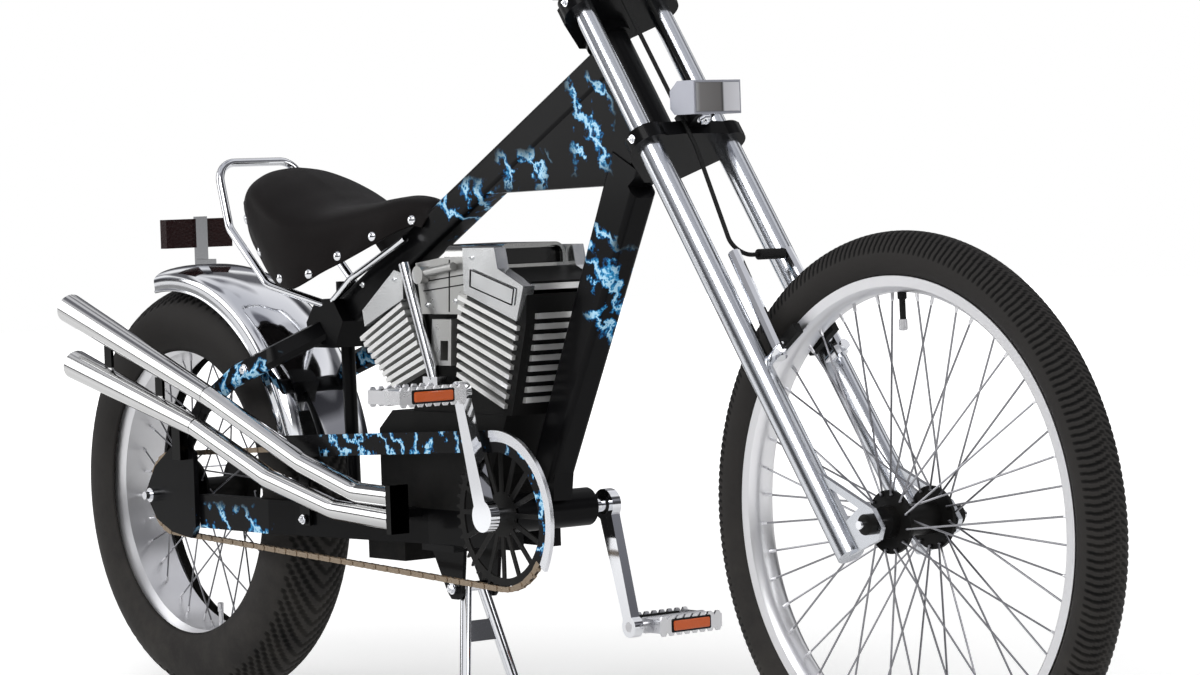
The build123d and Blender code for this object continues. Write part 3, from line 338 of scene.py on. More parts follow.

# %% [markdown]
# Shade is painted into a tyre's grooves: the deeper a point lies, the darker its colour. How deep a point
# lies below the tyre's round crown follows from its distance to the circle that runs inside the tyre, along
# the middle of its section, so one group serves both wheels.

# %% Groove depth
grooves, given, result = effect("grooves", {"Centre": (0.0, 0.0, 0.0), "Heart": 0.28, "Section": 0.026},
                                {"Depth": float})
arm = split(grooves, arrows(grooves, "SUBTRACT", place_of_surface(grooves), given["Centre"]))
rise = maths(grooves, "SUBTRACT", diagonal(grooves, arm["X"], arm["Z"]), given["Heart"])
below = maths(grooves, "SUBTRACT", given["Section"], diagonal(grooves, rise, arm["Y"]))
grooves.links.new(maths(grooves, "MULTIPLY", below, 1 / MM), result["Depth"])
print("groove depth comes out in millimetres")

# %% [markdown]
# A finish helper starts each material: plain numbers go straight on the shader's sockets, and
# the shared effects feed its colour, roughness and bump.

# %% Finish helper
GRAIN_DEPTH = 0.0004


def finish(name, colour, metallic=0.0, roughness=0.5, change=0.1, smudge=14.0, bump=0.0, bump_scale=900.0,
           dusty=0.0, shine=0.5, **sockets):
    """A material; change and smudge are the depth and fineness of the smudges in its roughness."""
    material = bpy.data.materials.new(name)
    material.use_nodes = True
    tree = material.node_tree
    inputs = shader_of(material).inputs
    inputs["Base Color"].default_value = (*colour, 1)
    inputs["Metallic"].default_value = metallic
    inputs["Specular IOR Level"].default_value = shine
    for socket, value in sockets.items():
        inputs[socket.replace("_", " ")].default_value = value
    wear = use(tree, smudges, Roughness=roughness, Change=change, Scale=smudge)
    tree.links.new(wear["Roughness"], inputs["Roughness"])
    if dusty:
        film = use(tree, dust, Clean=(*colour, 1), Amount=dusty)
        tree.links.new(film["Colour"], inputs["Base Color"])
    if bump:
        rough = use(tree, grain, Scale=bump_scale)["Height"]
        relief = add(tree, "ShaderNodeBump", {"Height": rough, "Strength": bump, "Distance": GRAIN_DEPTH})
        tree.links.new(relief.outputs["Normal"], inputs["Normal"])
    return material


print("finish helper is ready")

# %% [markdown]
# ## Painted decoration
# The black paint carries blue marbling in patches on the frame and the chain guard: thin pale
# crests over deep blue, like ink drawn through water. It is a plain pattern of its own. A wave
# texture bent by noise gives the crests, and soft boxes, mirrored from side to side, say where
# the patches lie.

# %% Marbling and patches
marbling, given, result = effect("marbling", {"Scale": 9.0}, {"Colour": list, "Cover": float})
bent = shaken(marbling, place_of_surface(marbling), 16.0, 5.0, 0.6, 0.16)
waves = add(marbling, "ShaderNodeTexWave", {"Vector": bent, "Scale": given["Scale"], "Distortion": 3.5,
                                           "Detail": 3.0, "Detail Scale": 2.2}, bands_direction="DIAGONAL")
inks = stops(marbling, waves.outputs["Fac"], (0.0, (0.004, 0.005, 0.008)), (0.6, (0.004, 0.012, 0.03)),
             (0.8, (0.008, 0.1, 0.28)), (0.91, (0.04, 0.34, 0.66)), (0.985, (0.5, 0.8, 1.0)))
marbling.links.new(inks, result["Colour"])
marbling.links.new(ranged(marbling, waves.outputs["Fac"], 0.56, 0.76), result["Cover"])

patch, given, result = effect("patch", {"Low": (0.0, 0.0, 0.0), "High": (1.0, 1.0, 1.0), "Soft": 0.012},
                              {"Inside": float})
spot = split(patch, place_of_surface(patch))
across = maths(patch, "ABSOLUTE", spot["Y"])
spot = add(patch, "ShaderNodeCombineXYZ", {0: spot["X"], 1: across, 2: spot["Z"]}).outputs[0]
spot = shaken(patch, spot, 55.0, 3.0, 0.5, given["Soft"])
inside = 1.0
for first, second in ((spot, given["Low"]), (given["High"], spot)):
    for gap in split(patch, arrows(patch, "SUBTRACT", first, second)):
        inside = maths(patch, "MULTIPLY", inside, maths(patch, "DIVIDE", gap, given["Soft"], clamp=True))
patch.links.new(inside, result["Inside"])


def patches_of(material, boxes, soft):
    """One mask for several boxes, given as their low and high corners in millimetres."""
    tree = material.node_tree
    mask = 0.0
    for low, high in boxes:
        area = use(tree, patch, Low=at(*low), High=at(*high), Soft=soft)
        mask = maths(tree, "MAXIMUM", mask, area["Inside"])
    return mask


def recolour(material, mask, colour):
    """Give the masked part of a finish another colour."""
    tree = material.node_tree
    socket = shader_of(material).inputs["Base Color"]
    under = socket.links[0].from_socket if socket.links else tuple(socket.default_value)[:3]
    tree.links.new(blend_colours(tree, mask, under, colour), socket)


def decorate(material, boxes, scale, soft):
    art = use(material.node_tree, marbling, Scale=scale)
    boxed = patches_of(material, boxes, soft)
    recolour(material, maths(material.node_tree, "MULTIPLY", boxed, art["Cover"]), art["Colour"])


print("decoration is ready")

# %% [markdown]
# ## The finishes
# Each of the record's slots gets one finish. Paint is near black with a thin clear coat, chrome
# mirrors the room with a slight smudge, tyres and grips are matt rubber with a grain, and the
# cast blocks of the dummy engine are satin black. After its colour, a finish says how metallic
# and how rough it is, and how deep and how fine its smudges are.

# %% Paint, chrome and the rest
BLACK = (0.004, 0.004, 0.0045)
PAINT = {"shine": 0.06, "Coat_Weight": 0.06, "Coat_Roughness": 0.1}
FRAME_PATCHES = [((688, -20, 668), (800, 60, 722)), ((832, -20, 684), (925, 60, 808)),
                 ((556, -20, 606), (690, 60, 690)), ((852, -20, 480), (925, 60, 640)),
                 ((145, 50, 400), (305, 130, 475)), ((90, 50, 220), (270, 140, 276))]
GUARD_PATCHES = [((372, 50, 338), (735, 110, 392)), ((768, 50, 215), (858, 110, 392))]
paint = finish("paint_black", BLACK, 0, 0.3, 0.12, **PAINT)
decorate(paint, FRAME_PATCHES, 9.0, 0.02)
guard_paint = finish("guard_paint", BLACK, 0, 0.26, 0.12, **PAINT)
decorate(guard_paint, GUARD_PATCHES, 12.0, 0.012)
FINISHES = {
    "frame_black": paint,
    "guard": guard_paint,
    "fork_chrome": finish("fork_metal", (0.66, 0.68, 0.72), 1, 0.2, 0.1, 9.0),
    "chrome": finish("chrome_plate", (0.8, 0.81, 0.84), 1, 0.07, 0.1, 18.0),
    "engine_black": finish("cast_black", (0.006, 0.006, 0.006), 0, 0.5, 0.2, bump=0.35, bump_scale=700,
                           dusty=0.06, shine=0.08),
    "vinyl": finish("saddle_vinyl", (0.01, 0.0085, 0.0085), 0, 0.45, 0.12, bump=0.5, bump_scale=1400,
                    shine=0.07),
    "grip_rubber": finish("grip_rubber", (0.008, 0.008, 0.008), 0, 0.6, 0.2, bump=0.6, bump_scale=800,
                          shine=0.15),
    "tyre": finish("tyre_rubber", (0.012, 0.0115, 0.011), 0, 0.7, 0.2, bump=0.5, bump_scale=500, dusty=0.1,
                   shine=0.12),
    "rim_alloy": finish("rim_alloy", (0.8, 0.8, 0.82), 1, 0.34, 0.12, 20.0, bump=0.1, bump_scale=1600,
                        dusty=0.08),
    "spoke_steel": finish("spoke_steel", (0.3, 0.3, 0.32), 1, 0.3, 0.1),
    "hub_black": finish("hub_black", (0.006, 0.006, 0.006), 0, 0.35, 0.15, bump=0.15, dusty=0.06,
                        shine=0.1),
    "chain_steel": finish("chain_steel", (0.34, 0.27, 0.2), 1, 0.42, 0.3, 60.0, bump=0.3, bump_scale=1200),
    "lens": finish("lamp_lens", (0.3, 0.3, 0.31), 0, 0.12, 0.04, bump=0.25, bump_scale=300),
    "reflector": finish("reflector_dark", (0.014, 0.003, 0.003), 0, 0.2, 0.08, bump=0.6, bump_scale=260,
                        shine=0.25),
    "pedal_metal": finish("pedal_metal", (0.72, 0.72, 0.74), 1, 0.28, 0.16, 40.0, bump=0.2, dusty=0.1),
}
for row in frame["record"]["subparts"]:
    mesh = nodes[row["node"]].data
    mesh.materials.clear()
    mesh.materials.append(FINISHES[row["material_slot"]])
print(len(FINISHES), "finishes on", len(nodes), "nodes")

# %% [markdown]
# Some nodes need more than their slot's plain finish. Flat covers are a duller chrome than the
# tubes, or they would mirror like glass. The fins are cast bright. The intake's mouth is black
# inside, the lamp's lens has the parts behind its glass painted into its colour as bands of grey,
# the crescent of the chain guard has a chrome rim, and the plates that carry the pipes are black.

# %% Special finishes
SHARP = 0.0004
cover_metal = finish("cover_metal", (0.74, 0.75, 0.76), 1, 0.2, 0.16, 22.0, bump=0.12, bump_scale=500)
fin_metal = finish("fin_metal", (0.82, 0.82, 0.81), 0.75, 0.34, 0.16, 30.0, bump=0.25, bump_scale=900)
carburettor_metal = finish("carburettor_metal", (0.42, 0.42, 0.41), 0.9, 0.3, 0.2, 30.0, bump=0.25,
                           bump_scale=700)
rod_metal = finish("pushrod_metal", (0.78, 0.79, 0.82), 1, 0.16, 0.1, 18.0)
lamp_shell = finish("lamp_shell", (0.36, 0.37, 0.42), 0.35, 0.24, 0.1, 18.0)

intake_metal = finish("intake_metal", (0.5, 0.5, 0.49), 1, 0.16, 0.12, 18.0)
mouth = patches_of(intake_metal, [((714, -60, 556), (729, 56, 602))], SHARP)
recolour(intake_metal, mouth, (0.004, 0.004, 0.004))
tree = intake_metal.node_tree
tree.links.new(maths(tree, "SUBTRACT", 1.0, mouth), shader_of(intake_metal).inputs["Metallic"])

# Painted view through the glass: the lens's colour runs in dark and pale grey bands across it, for the parts
# behind it.
LENS_HALF = 0.031
tree = FINISHES["lens"].node_tree
across = split(tree, place_of_surface(tree))["Y"]
bands = stops(tree, ranged(tree, across, -LENS_HALF, LENS_HALF),
              (0.0, (0.3, 0.3, 0.31)), (0.08, (0.17, 0.165, 0.165)), (0.55, (0.13, 0.125, 0.125)),
              (0.6, (0.05, 0.05, 0.05)), (0.64, (0.5, 0.5, 0.53)), (1.0, (0.62, 0.62, 0.66)))
tree.links.new(bands, shader_of(FINISHES["lens"]).inputs["Base Color"])

CRESCENT_RIM_R, CRESCENT_BACK = 0.0925, -0.012
tree = guard_paint.node_tree
arm = split(tree, arrows(tree, "SUBTRACT", place_of_surface(tree), at(753, 0, 282)))
far_out = maths(tree, "GREATER_THAN", diagonal(tree, arm["X"], arm["Z"]), CRESCENT_RIM_R)
rim_mask = maths(tree, "MULTIPLY", far_out, maths(tree, "GREATER_THAN", arm["X"], CRESCENT_BACK))
recolour(guard_paint, rim_mask, (0.8, 0.81, 0.84))
tree.links.new(rim_mask, shader_of(guard_paint).inputs["Metallic"])

pipe_metal = finish("pipe_chrome", (0.64, 0.64, 0.64), 1, 0.1, 0.1, 14.0)
PIPE_BRACKETS = [((-80, 116, 450), (-60, 122, 480)), ((50, 116, 415), (70, 122, 440)),
                 ((65, 90, 329), (87, 122, 378)), ((552, 74, 255), (564, 102, 317))]
recolour(pipe_metal, patches_of(pipe_metal, PIPE_BRACKETS, SHARP), (0.008, 0.008, 0.008))
SPECIAL = {"head_covers": cover_metal, "exhaust_pipes": pipe_metal, "cylinder_fins": fin_metal,
           "carburettors": carburettor_metal, "pushrods": rod_metal, "lamp_housing": lamp_shell,
           "air_cleaner": intake_metal}
for name, material in SPECIAL.items():
    nodes[name].data.materials[0] = material
print(len(SPECIAL), "nodes have a finish of their own")

# %% [markdown]
# ## Building meshes
# Most small pieces are turned on an axis: nuts, studs, nipples, the valves. A shape collects
# points and faces, and one call makes it a piece that rides on its body.

# %% Shape helpers
RIGHT, LEFT, UP = Vector((0, -1, 0)), Vector((0, 1, 0)), Vector((0, 0, 1))
WIRE_STEPS = 6


def new_shape():
    return {"points": [], "faces": []}


def add_grid(shape, rows, round_rows=False):
    """Join rings of points with quads; round_rows joins the last ring to the first as well."""
    first = len(shape["points"])
    count = len(rows[0])
    for row in rows:
        shape["points"].extend(row)
    for i in range(len(rows) if round_rows else len(rows) - 1):
        for j in range(count):
            a, b = first + i * count, first + (i + 1) % len(rows) * count
            k = (j + 1) % count
            shape["faces"].append((a + j, b + j, b + k, a + k))
    return first


def add_closed(shape, rows):
    """Join rings of points, and close the first and the last with a face each."""
    first = add_grid(shape, rows)
    count = len(rows[0])
    last = first + (len(rows) - 1) * count
    shape["faces"].append(tuple(range(first, first + count)))
    shape["faces"].append(tuple(reversed(range(last, last + count))))


def add_shell(shape, rows):
    """Join rows that run out on a skin's face and home on its back, and close the two edges."""
    first = add_grid(shape, rows)
    count = len(rows[0])
    for start, way in ((first, 1), (first + (len(rows) - 1) * count, -1)):
        for j in range(count // 2 - 1):
            quad = (start + j, start + j + 1, start + count - 2 - j, start + count - 1 - j)
            shape["faces"].append(quad[::way])


def ring(middle, way, hint, radius, segments):
    """A ring of points about a line along way; the first lies square to that line and to hint."""
    side = way.cross(hint).normalized()
    third = way.cross(side)
    turns = [2 * pi * k / segments for k in range(segments)]
    return [middle + (side * cos(turn) + third * sin(turn)) * radius * MM for turn in turns]


def add_turned(shape, foot, way, profile, segments=20):
    """A form turned about the line from foot along way; profile is (along, radius) in millimetres."""
    way = way.normalized()
    hint = UP if abs(way.z) < 0.9 else Vector((1, 0, 0))
    rows = [ring(foot + way * along * MM, way, hint, radius, segments) for along, radius in profile]
    add_closed(shape, rows)


def spline(points, share):
    """A smooth line through the points, from 0 at the first to 1 at the last."""
    spot = min(max(share, 0.0), 1.0) * (len(points) - 1)
    k = min(int(spot), len(points) - 2)
    t = spot - k
    a, b, c, d = (points[min(max(k + i, 0), len(points) - 1)] for i in (-1, 0, 1, 2))
    bend = (a * 2 - b * 5 + c * 4 - d) * t * t + (b * 3 - a - c * 3 + d) * t ** 3
    return (b * 2 + (c - a) * t + bend) * 0.5


def add_wire(shape, points, radius, segments=8):
    """A round wire through the points, which are joined by a smooth line."""
    steps = WIRE_STEPS * (len(points) - 1)
    line = [spline(points, k / steps) for k in range(steps + 1)]
    rows = []
    for k, spot in enumerate(line):
        way = (line[min(k + 1, steps)] - line[max(k - 1, 0)]).normalized()
        rows.append(ring(spot, way, LEFT if abs(way.y) < 0.8 else UP, radius, segments))
    add_closed(shape, rows)


def add_prism(shape, outline, low, high):
    """A flat plate: an outline in the side view, in millimetres, that reaches from low to high across."""
    add_closed(shape, [[at(x, y, z) for x, z in outline] for y in (low, high)])


def add_nut(shape, foot, way, radius, thick):
    """A washer, a chamfered hexagon and the end of its bolt."""
    hexagon = [(1.2, radius * 0.95), (1.8, radius), (thick - 0.8, radius), (thick, radius * 0.88)]
    bolt = [(thick, radius * 0.5), (thick + 1.6, radius * 0.5), (thick + 2.4, radius * 0.35)]
    add_turned(shape, foot, way, [(0, radius * 1.25), (1.2, radius * 1.25)], 24)
    add_turned(shape, foot, way, hexagon, 6)
    add_turned(shape, foot, way, bolt, 12)


def on_wheel(centre, radius, y, turn):
    """A point round a wheel's axle, in millimetres: its radius, how far to the left, and its angle."""
    return centre + Vector((radius * cos(turn), y, radius * sin(turn))) * MM


def piece_of(shape, name, body, slot, material=None, crease=35.0):
    mesh = bpy.data.meshes.new(name)
    mesh.from_pydata(shape["points"], [], shape["faces"])
    mesh.update()
    mesh.materials.append(material or FINISHES[slot])
    thing = scene_object(name, mesh)
    mesh.shade_smooth()
    if crease:
        mesh.set_sharp_from_angle(angle=radians(crease))
    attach(thing, body)
    print(name, len(mesh.polygons), "faces")
    return thing


# %% [markdown]
# ## Tyres
# Both tyres are black rubber with tread cut across the crown: fine slanting ribs in front, bold
# chevrons behind. The carcass is a circle that meets the rim's walls. It is turned in many small
# steps, and each point of the crown is pushed in where a groove runs, so the cut is real
# geometry and shows in the outline.

# %% Tyre builder
TREAD_FADE = 0.12
SHOULDER_WIDE, SHOULDER_CUT = 0.05, 0.5
CROWN_CUT, CROWN_LEAN = 0.4, 0.35
GROOVE_START, GROOVE_WALL = 0.55, 0.2


def groove_depth(lean, spin, ribs, slant, groove, tread_half):
    """How deep the tread is cut, at an angle of lean from the crown's middle line."""
    if lean >= tread_half:
        return SHOULDER_CUT if lean < tread_half + SHOULDER_WIDE else 0.0
    phase = ribs * (spin + slant * lean ** 1.25) / (2 * pi)
    wave = abs(phase - floor(phase) - 0.5) * 2
    edge = min(1.0, (tread_half - lean) / TREAD_FADE)
    crown = CROWN_CUT + (1 - CROWN_CUT) * min(1.0, lean / CROWN_LEAN)
    return groove * edge * crown * min(1.0, max(0.0, (wave - GROOVE_START) / GROOVE_WALL))


def tyre_shape(centre, outer, section, bead_half, rim_r, ribs, samples, across, **tread):
    """One tyre; ribs of samples steps each, and across steps over its section."""
    heart = outer - section
    start = -atan2(sqrt(max(section ** 2 - bead_half ** 2, 0)), bead_half)
    steps = ribs * samples
    rows = []
    for i in range(steps):
        spin = 2 * pi * i / steps
        row = []
        for j in range(across + 1):
            turn = start + (pi - 2 * start) * j / across
            radius = section - groove_depth(abs(turn - pi / 2), spin, ribs, **tread)
            row.append(on_wheel(centre, heart + radius * sin(turn), radius * cos(turn), spin))
        row += [on_wheel(centre, rim_r - 4, y, spin) for y in (3 - bead_half, bead_half - 3)]
        rows.append(row)
    shape = new_shape()
    add_grid(shape, rows, round_rows=True)
    return shape


def rubber(name, centre, outer, section, deep):
    """Tyre rubber with painted highlight and shade: paler on the tread's blocks and darker down in its
    grooves.
    """
    material = finish(name, (0.012, 0.0115, 0.011), 0, 0.62, 0.2, bump=0.4, bump_scale=500, shine=0.1)
    tree = material.node_tree
    depth = use(tree, grooves, Centre=centre, Heart=(outer - section) * MM, Section=section * MM)["Depth"]
    # Painted highlight and shade: the colour runs from pale on the blocks' tops to near black deep in the
    # grooves.
    tone = stops(tree, ranged(tree, depth, 0.1, deep), (0.0, (0.03, 0.028, 0.027)),
                 (0.35, (0.011, 0.0105, 0.01)), (1.0, (0.0015, 0.0015, 0.0015)))
    film = use(tree, dust, Clean=tone, Amount=0.08)
    tree.links.new(film["Colour"], shader_of(material).inputs["Base Color"])
    return material


print("tyre builder is ready")

# %% [markdown]
# The front tyre is narrow, with many fine ribs. The rear one is over twice as wide, with bold
# blocks and deeper grooves that stop short of its flanks.

# %% Both tyres
FRONT_OUTER, FRONT_SECTION, FRONT_RIM_R = FRONT_AXLE_Z, 26.0, 260.0
REAR_OUTER, REAR_SECTION, REAR_RIM_R = REAR_AXLE_Z, 57.5, 212.0
front_shape = tyre_shape(front_axle, FRONT_OUTER, FRONT_SECTION, 15.0, FRONT_RIM_R, ribs=230, samples=5,
                         across=34, slant=-0.15, groove=1.0, tread_half=1.42)
front_rubber = rubber("front_rubber", front_axle, FRONT_OUTER, FRONT_SECTION, deep=0.85)
front_tread = piece_of(front_shape, "front_tyre_tread", "front_wheel", "tyre", front_rubber, crease=None)
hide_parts("front_tyre")
rear_shape = tyre_shape(rear_axle, REAR_OUTER, REAR_SECTION, 47.5, REAR_RIM_R, ribs=88, samples=9,
                        across=48, slant=-0.26, groove=2.6, tread_half=1.0)
rear_rubber = rubber("rear_rubber", rear_axle, REAR_OUTER, REAR_SECTION, deep=2.1)
rear_tread = piece_of(rear_shape, "rear_tyre_tread", "rear_wheel", "tyre", rear_rubber, crease=None)
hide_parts("rear_tyre")

# %% [markdown]
# ## Saddle
# The saddle is a firm moulded pad under black vinyl, wide and humped at the back, with a deep
# skirt down each side and a narrow nose. Its left half is drawn as five lines from back to
# front: the ridge, two lines over the shoulder, one down the flank, and the hem. A smooth
# surface through them, mirrored, gives the top skin, and the same skin set inward gives the
# hollow below, which the frame's tube runs up into.

# %% Saddle lines
SADDLE_LINES = [
    [(203, 0, 688), (205, 0, 702), (226, 0, 711), (270, 0, 699), (320, 0, 677),
     (370, 0, 661), (430, 0, 662), (495, 0, 669), (538, 0, 664), (554, 0, 648)],
    [(205, 42, 678), (208, 42, 694), (228, 46, 704), (272, 50, 691), (322, 50, 670),
     (371, 46, 656), (430, 34, 659), (493, 24, 665), (534, 15, 660), (550, 12, 645)],
    [(222, 78, 654), (224, 82, 668), (244, 88, 679), (284, 95, 666), (328, 96, 646),
     (374, 82, 637), (430, 60, 643), (490, 38, 654), (528, 25, 652), (546, 20, 640)],
    [(262, 94, 612), (264, 96, 620), (276, 101, 627), (306, 104, 619), (344, 100, 604),
     (386, 88, 602), (436, 66, 616), (488, 46, 636), (525, 29, 641), (543, 23, 634)],
    [(312, 97, 564), (316, 98, 561), (324, 99, 558), (340, 100, 555), (362, 98, 557),
     (398, 86, 574), (442, 68, 594), (488, 48, 616), (522, 31, 630), (539, 24, 628)],
]
saddle_lines = [[at(*point) for point in line] for line in SADDLE_LINES]


def saddle_skin(share, side):
    """A point of the top skin: share runs from back to front, side from -1, right hem, to 1, left hem."""
    across = [spline(line, share) for line in saddle_lines]
    spot = spline(across, abs(side))
    return Vector((spot.x, spot.y * (1 if side > 0 else -1), spot.z))


def saddle_normal(share, side):
    step = 0.01
    ahead = saddle_skin(min(share + step, 1), side) - saddle_skin(max(share - step, 0), side)
    over = saddle_skin(share, min(side + step, 1)) - saddle_skin(share, max(side - step, -1))
    return ahead.cross(over).normalized()


print("saddle is", round((saddle_skin(1, 0) - saddle_skin(0, 0)).length * 1000), "mm long")

# %% [markdown]
# The vinyl is pulled down a little under each stud and rolls over a thin edge at the hem. The
# studs are small chrome domes, placed along the hem as the photograph shows them.

# %% Saddle skin and studs
ALONG, ACROSS = 72, 20
SADDLE_STUDS = [(0.06, 0.6), (0.12, 0.82), (0.32, 0.93), (0.52, 0.93), (0.63, 0.88), (0.74, 0.86),
                (0.89, 0.8)]
STUD_PULL, STUD_REACH = 1.6, 0.011
STUD_DOME = [(0, 6.2), (1.0, 6.5), (2.4, 5.6), (3.5, 3.6), (4.1, 1.2)]
HEM_START, HEM_ROLL = 0.93, 1.2
SADDLE_HEART = at(380, 0, 600)


def saddle_point(share, side, depth):
    """A point of the skin, set inward by depth in millimetres."""
    spot = saddle_skin(share, side)
    normal = saddle_normal(share, side)
    if normal.z < 0 and abs(side) < 0.5:
        normal = -normal
    pull = 0.0
    for stud_share, stud_side in SADDLE_STUDS:
        gap = (spot - saddle_skin(stud_share, stud_side if side > 0 else -stud_side)).length / STUD_REACH
        pull += STUD_PULL * exp(-gap * gap)
    hem = max(0.0, (abs(side) - HEM_START) / (1 - HEM_START))
    return spot - normal * (pull + depth + HEM_ROLL * hem ** 2) * MM


def saddle_depth(share, side):
    """How far the hollow below is set in: thin at the hem and the ends, thick in the middle."""
    return 4 + 10 * (1 - abs(side)) * sin(pi * min(1, share * 1.2 + 0.05)) ** 0.5


cover = new_shape()
sides = [-1 + j / ACROSS for j in range(2 * ACROSS + 1)]
loops = []
for i in range(ALONG + 1):
    share = i / ALONG
    outer = [saddle_point(share, side, 0) for side in sides]
    inner = [saddle_point(share, side, saddle_depth(share, side)) for side in sides]
    loops.append(outer + inner[::-1])
add_shell(cover, loops)
saddle_cover = piece_of(cover, "saddle_cover", "frame", "vinyl", crease=60)
rounding = saddle_cover.modifiers.new("rounding", "SUBSURF")
rounding.levels = rounding.render_levels = 1
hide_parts("saddle")

studs = new_shape()
for share, side in SADDLE_STUDS:
    for hand in (-1, 1):
        normal = saddle_normal(share, side * hand)
        foot = saddle_skin(share, side * hand)
        if normal.dot(foot - SADDLE_HEART) < 0:
            normal = -normal
        add_turned(studs, foot - normal * 2.5 * MM, normal, STUD_DOME, 20)
piece_of(studs, "saddle_studs", "frame", "chrome", crease=50)

# %% [markdown]
# ## Chain
# The CAD chain is two flat loops. A real one is a row of links. They are laid along the same
# loop here, at the pitch that fits it a whole number of times.

# %% Chain loop
CHAIN_Y = -67.0
PITCH = 12.7
RING_TEETH, SPROCKET_TEETH = 44, 26
ring_r = PITCH / 2 / sin(pi / RING_TEETH)
sprocket_r = PITCH / 2 / sin(pi / SPROCKET_TEETH)
BB_X, BB_Z = 747.0, 287.0
axle_gap = hypot(BB_X, BB_Z - REAR_AXLE_Z)
slope = asin((ring_r - sprocket_r) / axle_gap)
tilt = atan2(BB_Z - REAR_AXLE_Z, BB_X)
run = sqrt(axle_gap ** 2 - (ring_r - sprocket_r) ** 2)
front_arc = ring_r * (pi + 2 * slope)
back_arc = sprocket_r * (pi - 2 * slope)
chain_length = 2 * run + front_arc + back_arc


def away_from(x, z, reach, turn):
    """A point of the side view, reach away from another in the direction of turn."""
    return x + reach * cos(turn), z + reach * sin(turn)


def chain_spot(distance):
    """The chain's centre line in the side view, in millimetres, from the top of the sprocket forward."""
    up = tilt + pi / 2 + slope
    down = tilt - pi / 2 - slope
    distance %= chain_length
    if distance < run:
        return away_from(*away_from(0, REAR_AXLE_Z, sprocket_r, up), distance, tilt + slope)
    distance -= run
    if distance < front_arc:
        return away_from(BB_X, BB_Z, ring_r, up - distance / ring_r)
    distance -= front_arc
    if distance < run:
        return away_from(*away_from(BB_X, BB_Z, ring_r, down), distance, tilt - slope + pi)
    return away_from(0, REAR_AXLE_Z, sprocket_r, down - (distance - run) / sprocket_r)


links = round(chain_length / PITCH / 2) * 2
print("chain:", round(chain_length), "mm,", links, "links")

# %% [markdown]
# A link has two plates in the shape of an eight, and a pin with its roller at one end. Narrow and
# wide links take turns, so that each holds the next.

# %% Chain links
PLATE_R, PLATE_POINTS, PLATE_HALF_T = 4.2, 16, 0.45
INNER_PLATE_Y, OUTER_PLATE_Y = 2.3, 3.2
PIN = [(0, 1.4), (0.3, 1.7), (7.7, 1.7), (8, 1.4)]
ROLLER = [(0, 3.4), (3.2, 3.4)]
chain_shape = new_shape()
eight = []
for k in range(PLATE_POINTS):
    turn = 2 * pi * k / PLATE_POINTS
    end = 1 if cos(turn) > 0 else -1
    waist = 1 - 0.28 * (1 - abs(cos(turn))) ** 2
    eight.append((end * PITCH / 2 + PLATE_R * cos(turn), PLATE_R * sin(turn) * waist))
for k in range(links):
    x0, z0 = chain_spot(k * chain_length / links)
    x1, z1 = chain_spot((k + 1) * chain_length / links)
    lean = atan2(z1 - z0, x1 - x0)
    outline = [((x0 + x1) / 2 + a * cos(lean) - b * sin(lean), (z0 + z1) / 2 + a * sin(lean) + b * cos(lean))
               for a, b in eight]
    reach = INNER_PLATE_Y if k % 2 else OUTER_PLATE_Y
    for plate_y in (CHAIN_Y - reach, CHAIN_Y + reach):
        add_prism(chain_shape, outline, plate_y - PLATE_HALF_T, plate_y + PLATE_HALF_T)
    add_turned(chain_shape, at(x0, CHAIN_Y - 4.0, z0), LEFT, PIN, 8)
    add_turned(chain_shape, at(x0, CHAIN_Y - 1.6, z0), LEFT, ROLLER, 10)
chain_links = piece_of(chain_shape, "chain_links", "frame", "chain_steel", crease=40)
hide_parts("chain")

# %% [markdown]
# ## Rear fender
# The CAD fender is a trough of flat bands. Polished metal shows every facet, so the same section
# is drawn here as a smooth line with a rounded crown and a thin rolled edge, and is swept round
# the tyre in fine steps. The strap that carries the reflector belongs to it.

# %% Rear fender
FENDER_R = REAR_AXLE_Z + 25.0
FENDER_DROP, FENDER_T = 32, 2.5
FENDER_FROM, FENDER_SWEEP, FENDER_STEPS = 12.0, 86.0, 96
FENDER_HALF = [(-FENDER_DROP, 62.5), (-24, 62.5), (-15, 62), (-8, 54), (-3, 40), (0, 22), (0.6, 0)]


def fender_turn(share):
    return radians(FENDER_FROM + FENDER_SWEEP * share)


fender_section = [Vector((FENDER_R + drop, y)) for drop, y in FENDER_HALF]
outside = [spline(fender_section, k / 18) for k in range(19)]
outside += [Vector((p.x, -p.y)) for p in reversed(outside[:-1])]
middle = Vector((FENDER_R - 60, 0))
inside = [p + (middle - p).normalized() * FENDER_T for p in reversed(outside)]
turns = [fender_turn(k / FENDER_STEPS) for k in range(FENDER_STEPS + 1)]
fender = new_shape()
add_shell(fender, [[on_wheel(rear_axle, p.x, p.y, turn) for p in outside + inside] for turn in turns])
for hand in (-1, 1):
    edge = [on_wheel(rear_axle, FENDER_R - FENDER_DROP, hand * 61.5, fender_turn(k / 40)) for k in range(41)]
    add_wire(fender, edge, 2.2)
STRAP = [(-20, 0), (6, 0), (6, 12), (-14, 12), (-14, 70), (-20, 70)]
add_prism(fender, [(x, FENDER_R + REAR_AXLE_Z - 5 + z) for x, z in STRAP], -9, 9)
fender_skin = piece_of(fender, "rear_fender_skin", "frame", "chrome", crease=35)
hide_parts("rear_fender")

# %% [markdown]
# ## Front rim
# The front rim is a rolled alloy section: a lip that holds the tyre's bead, a flat braking band
# on each side, and a shallow well towards the hub. It is turned about the axle.

# %% Front rim
FRONT_RIM_DEEP = 18.0


def mirrored_half(points):
    return [(r, -y) for r, y in reversed(points)]


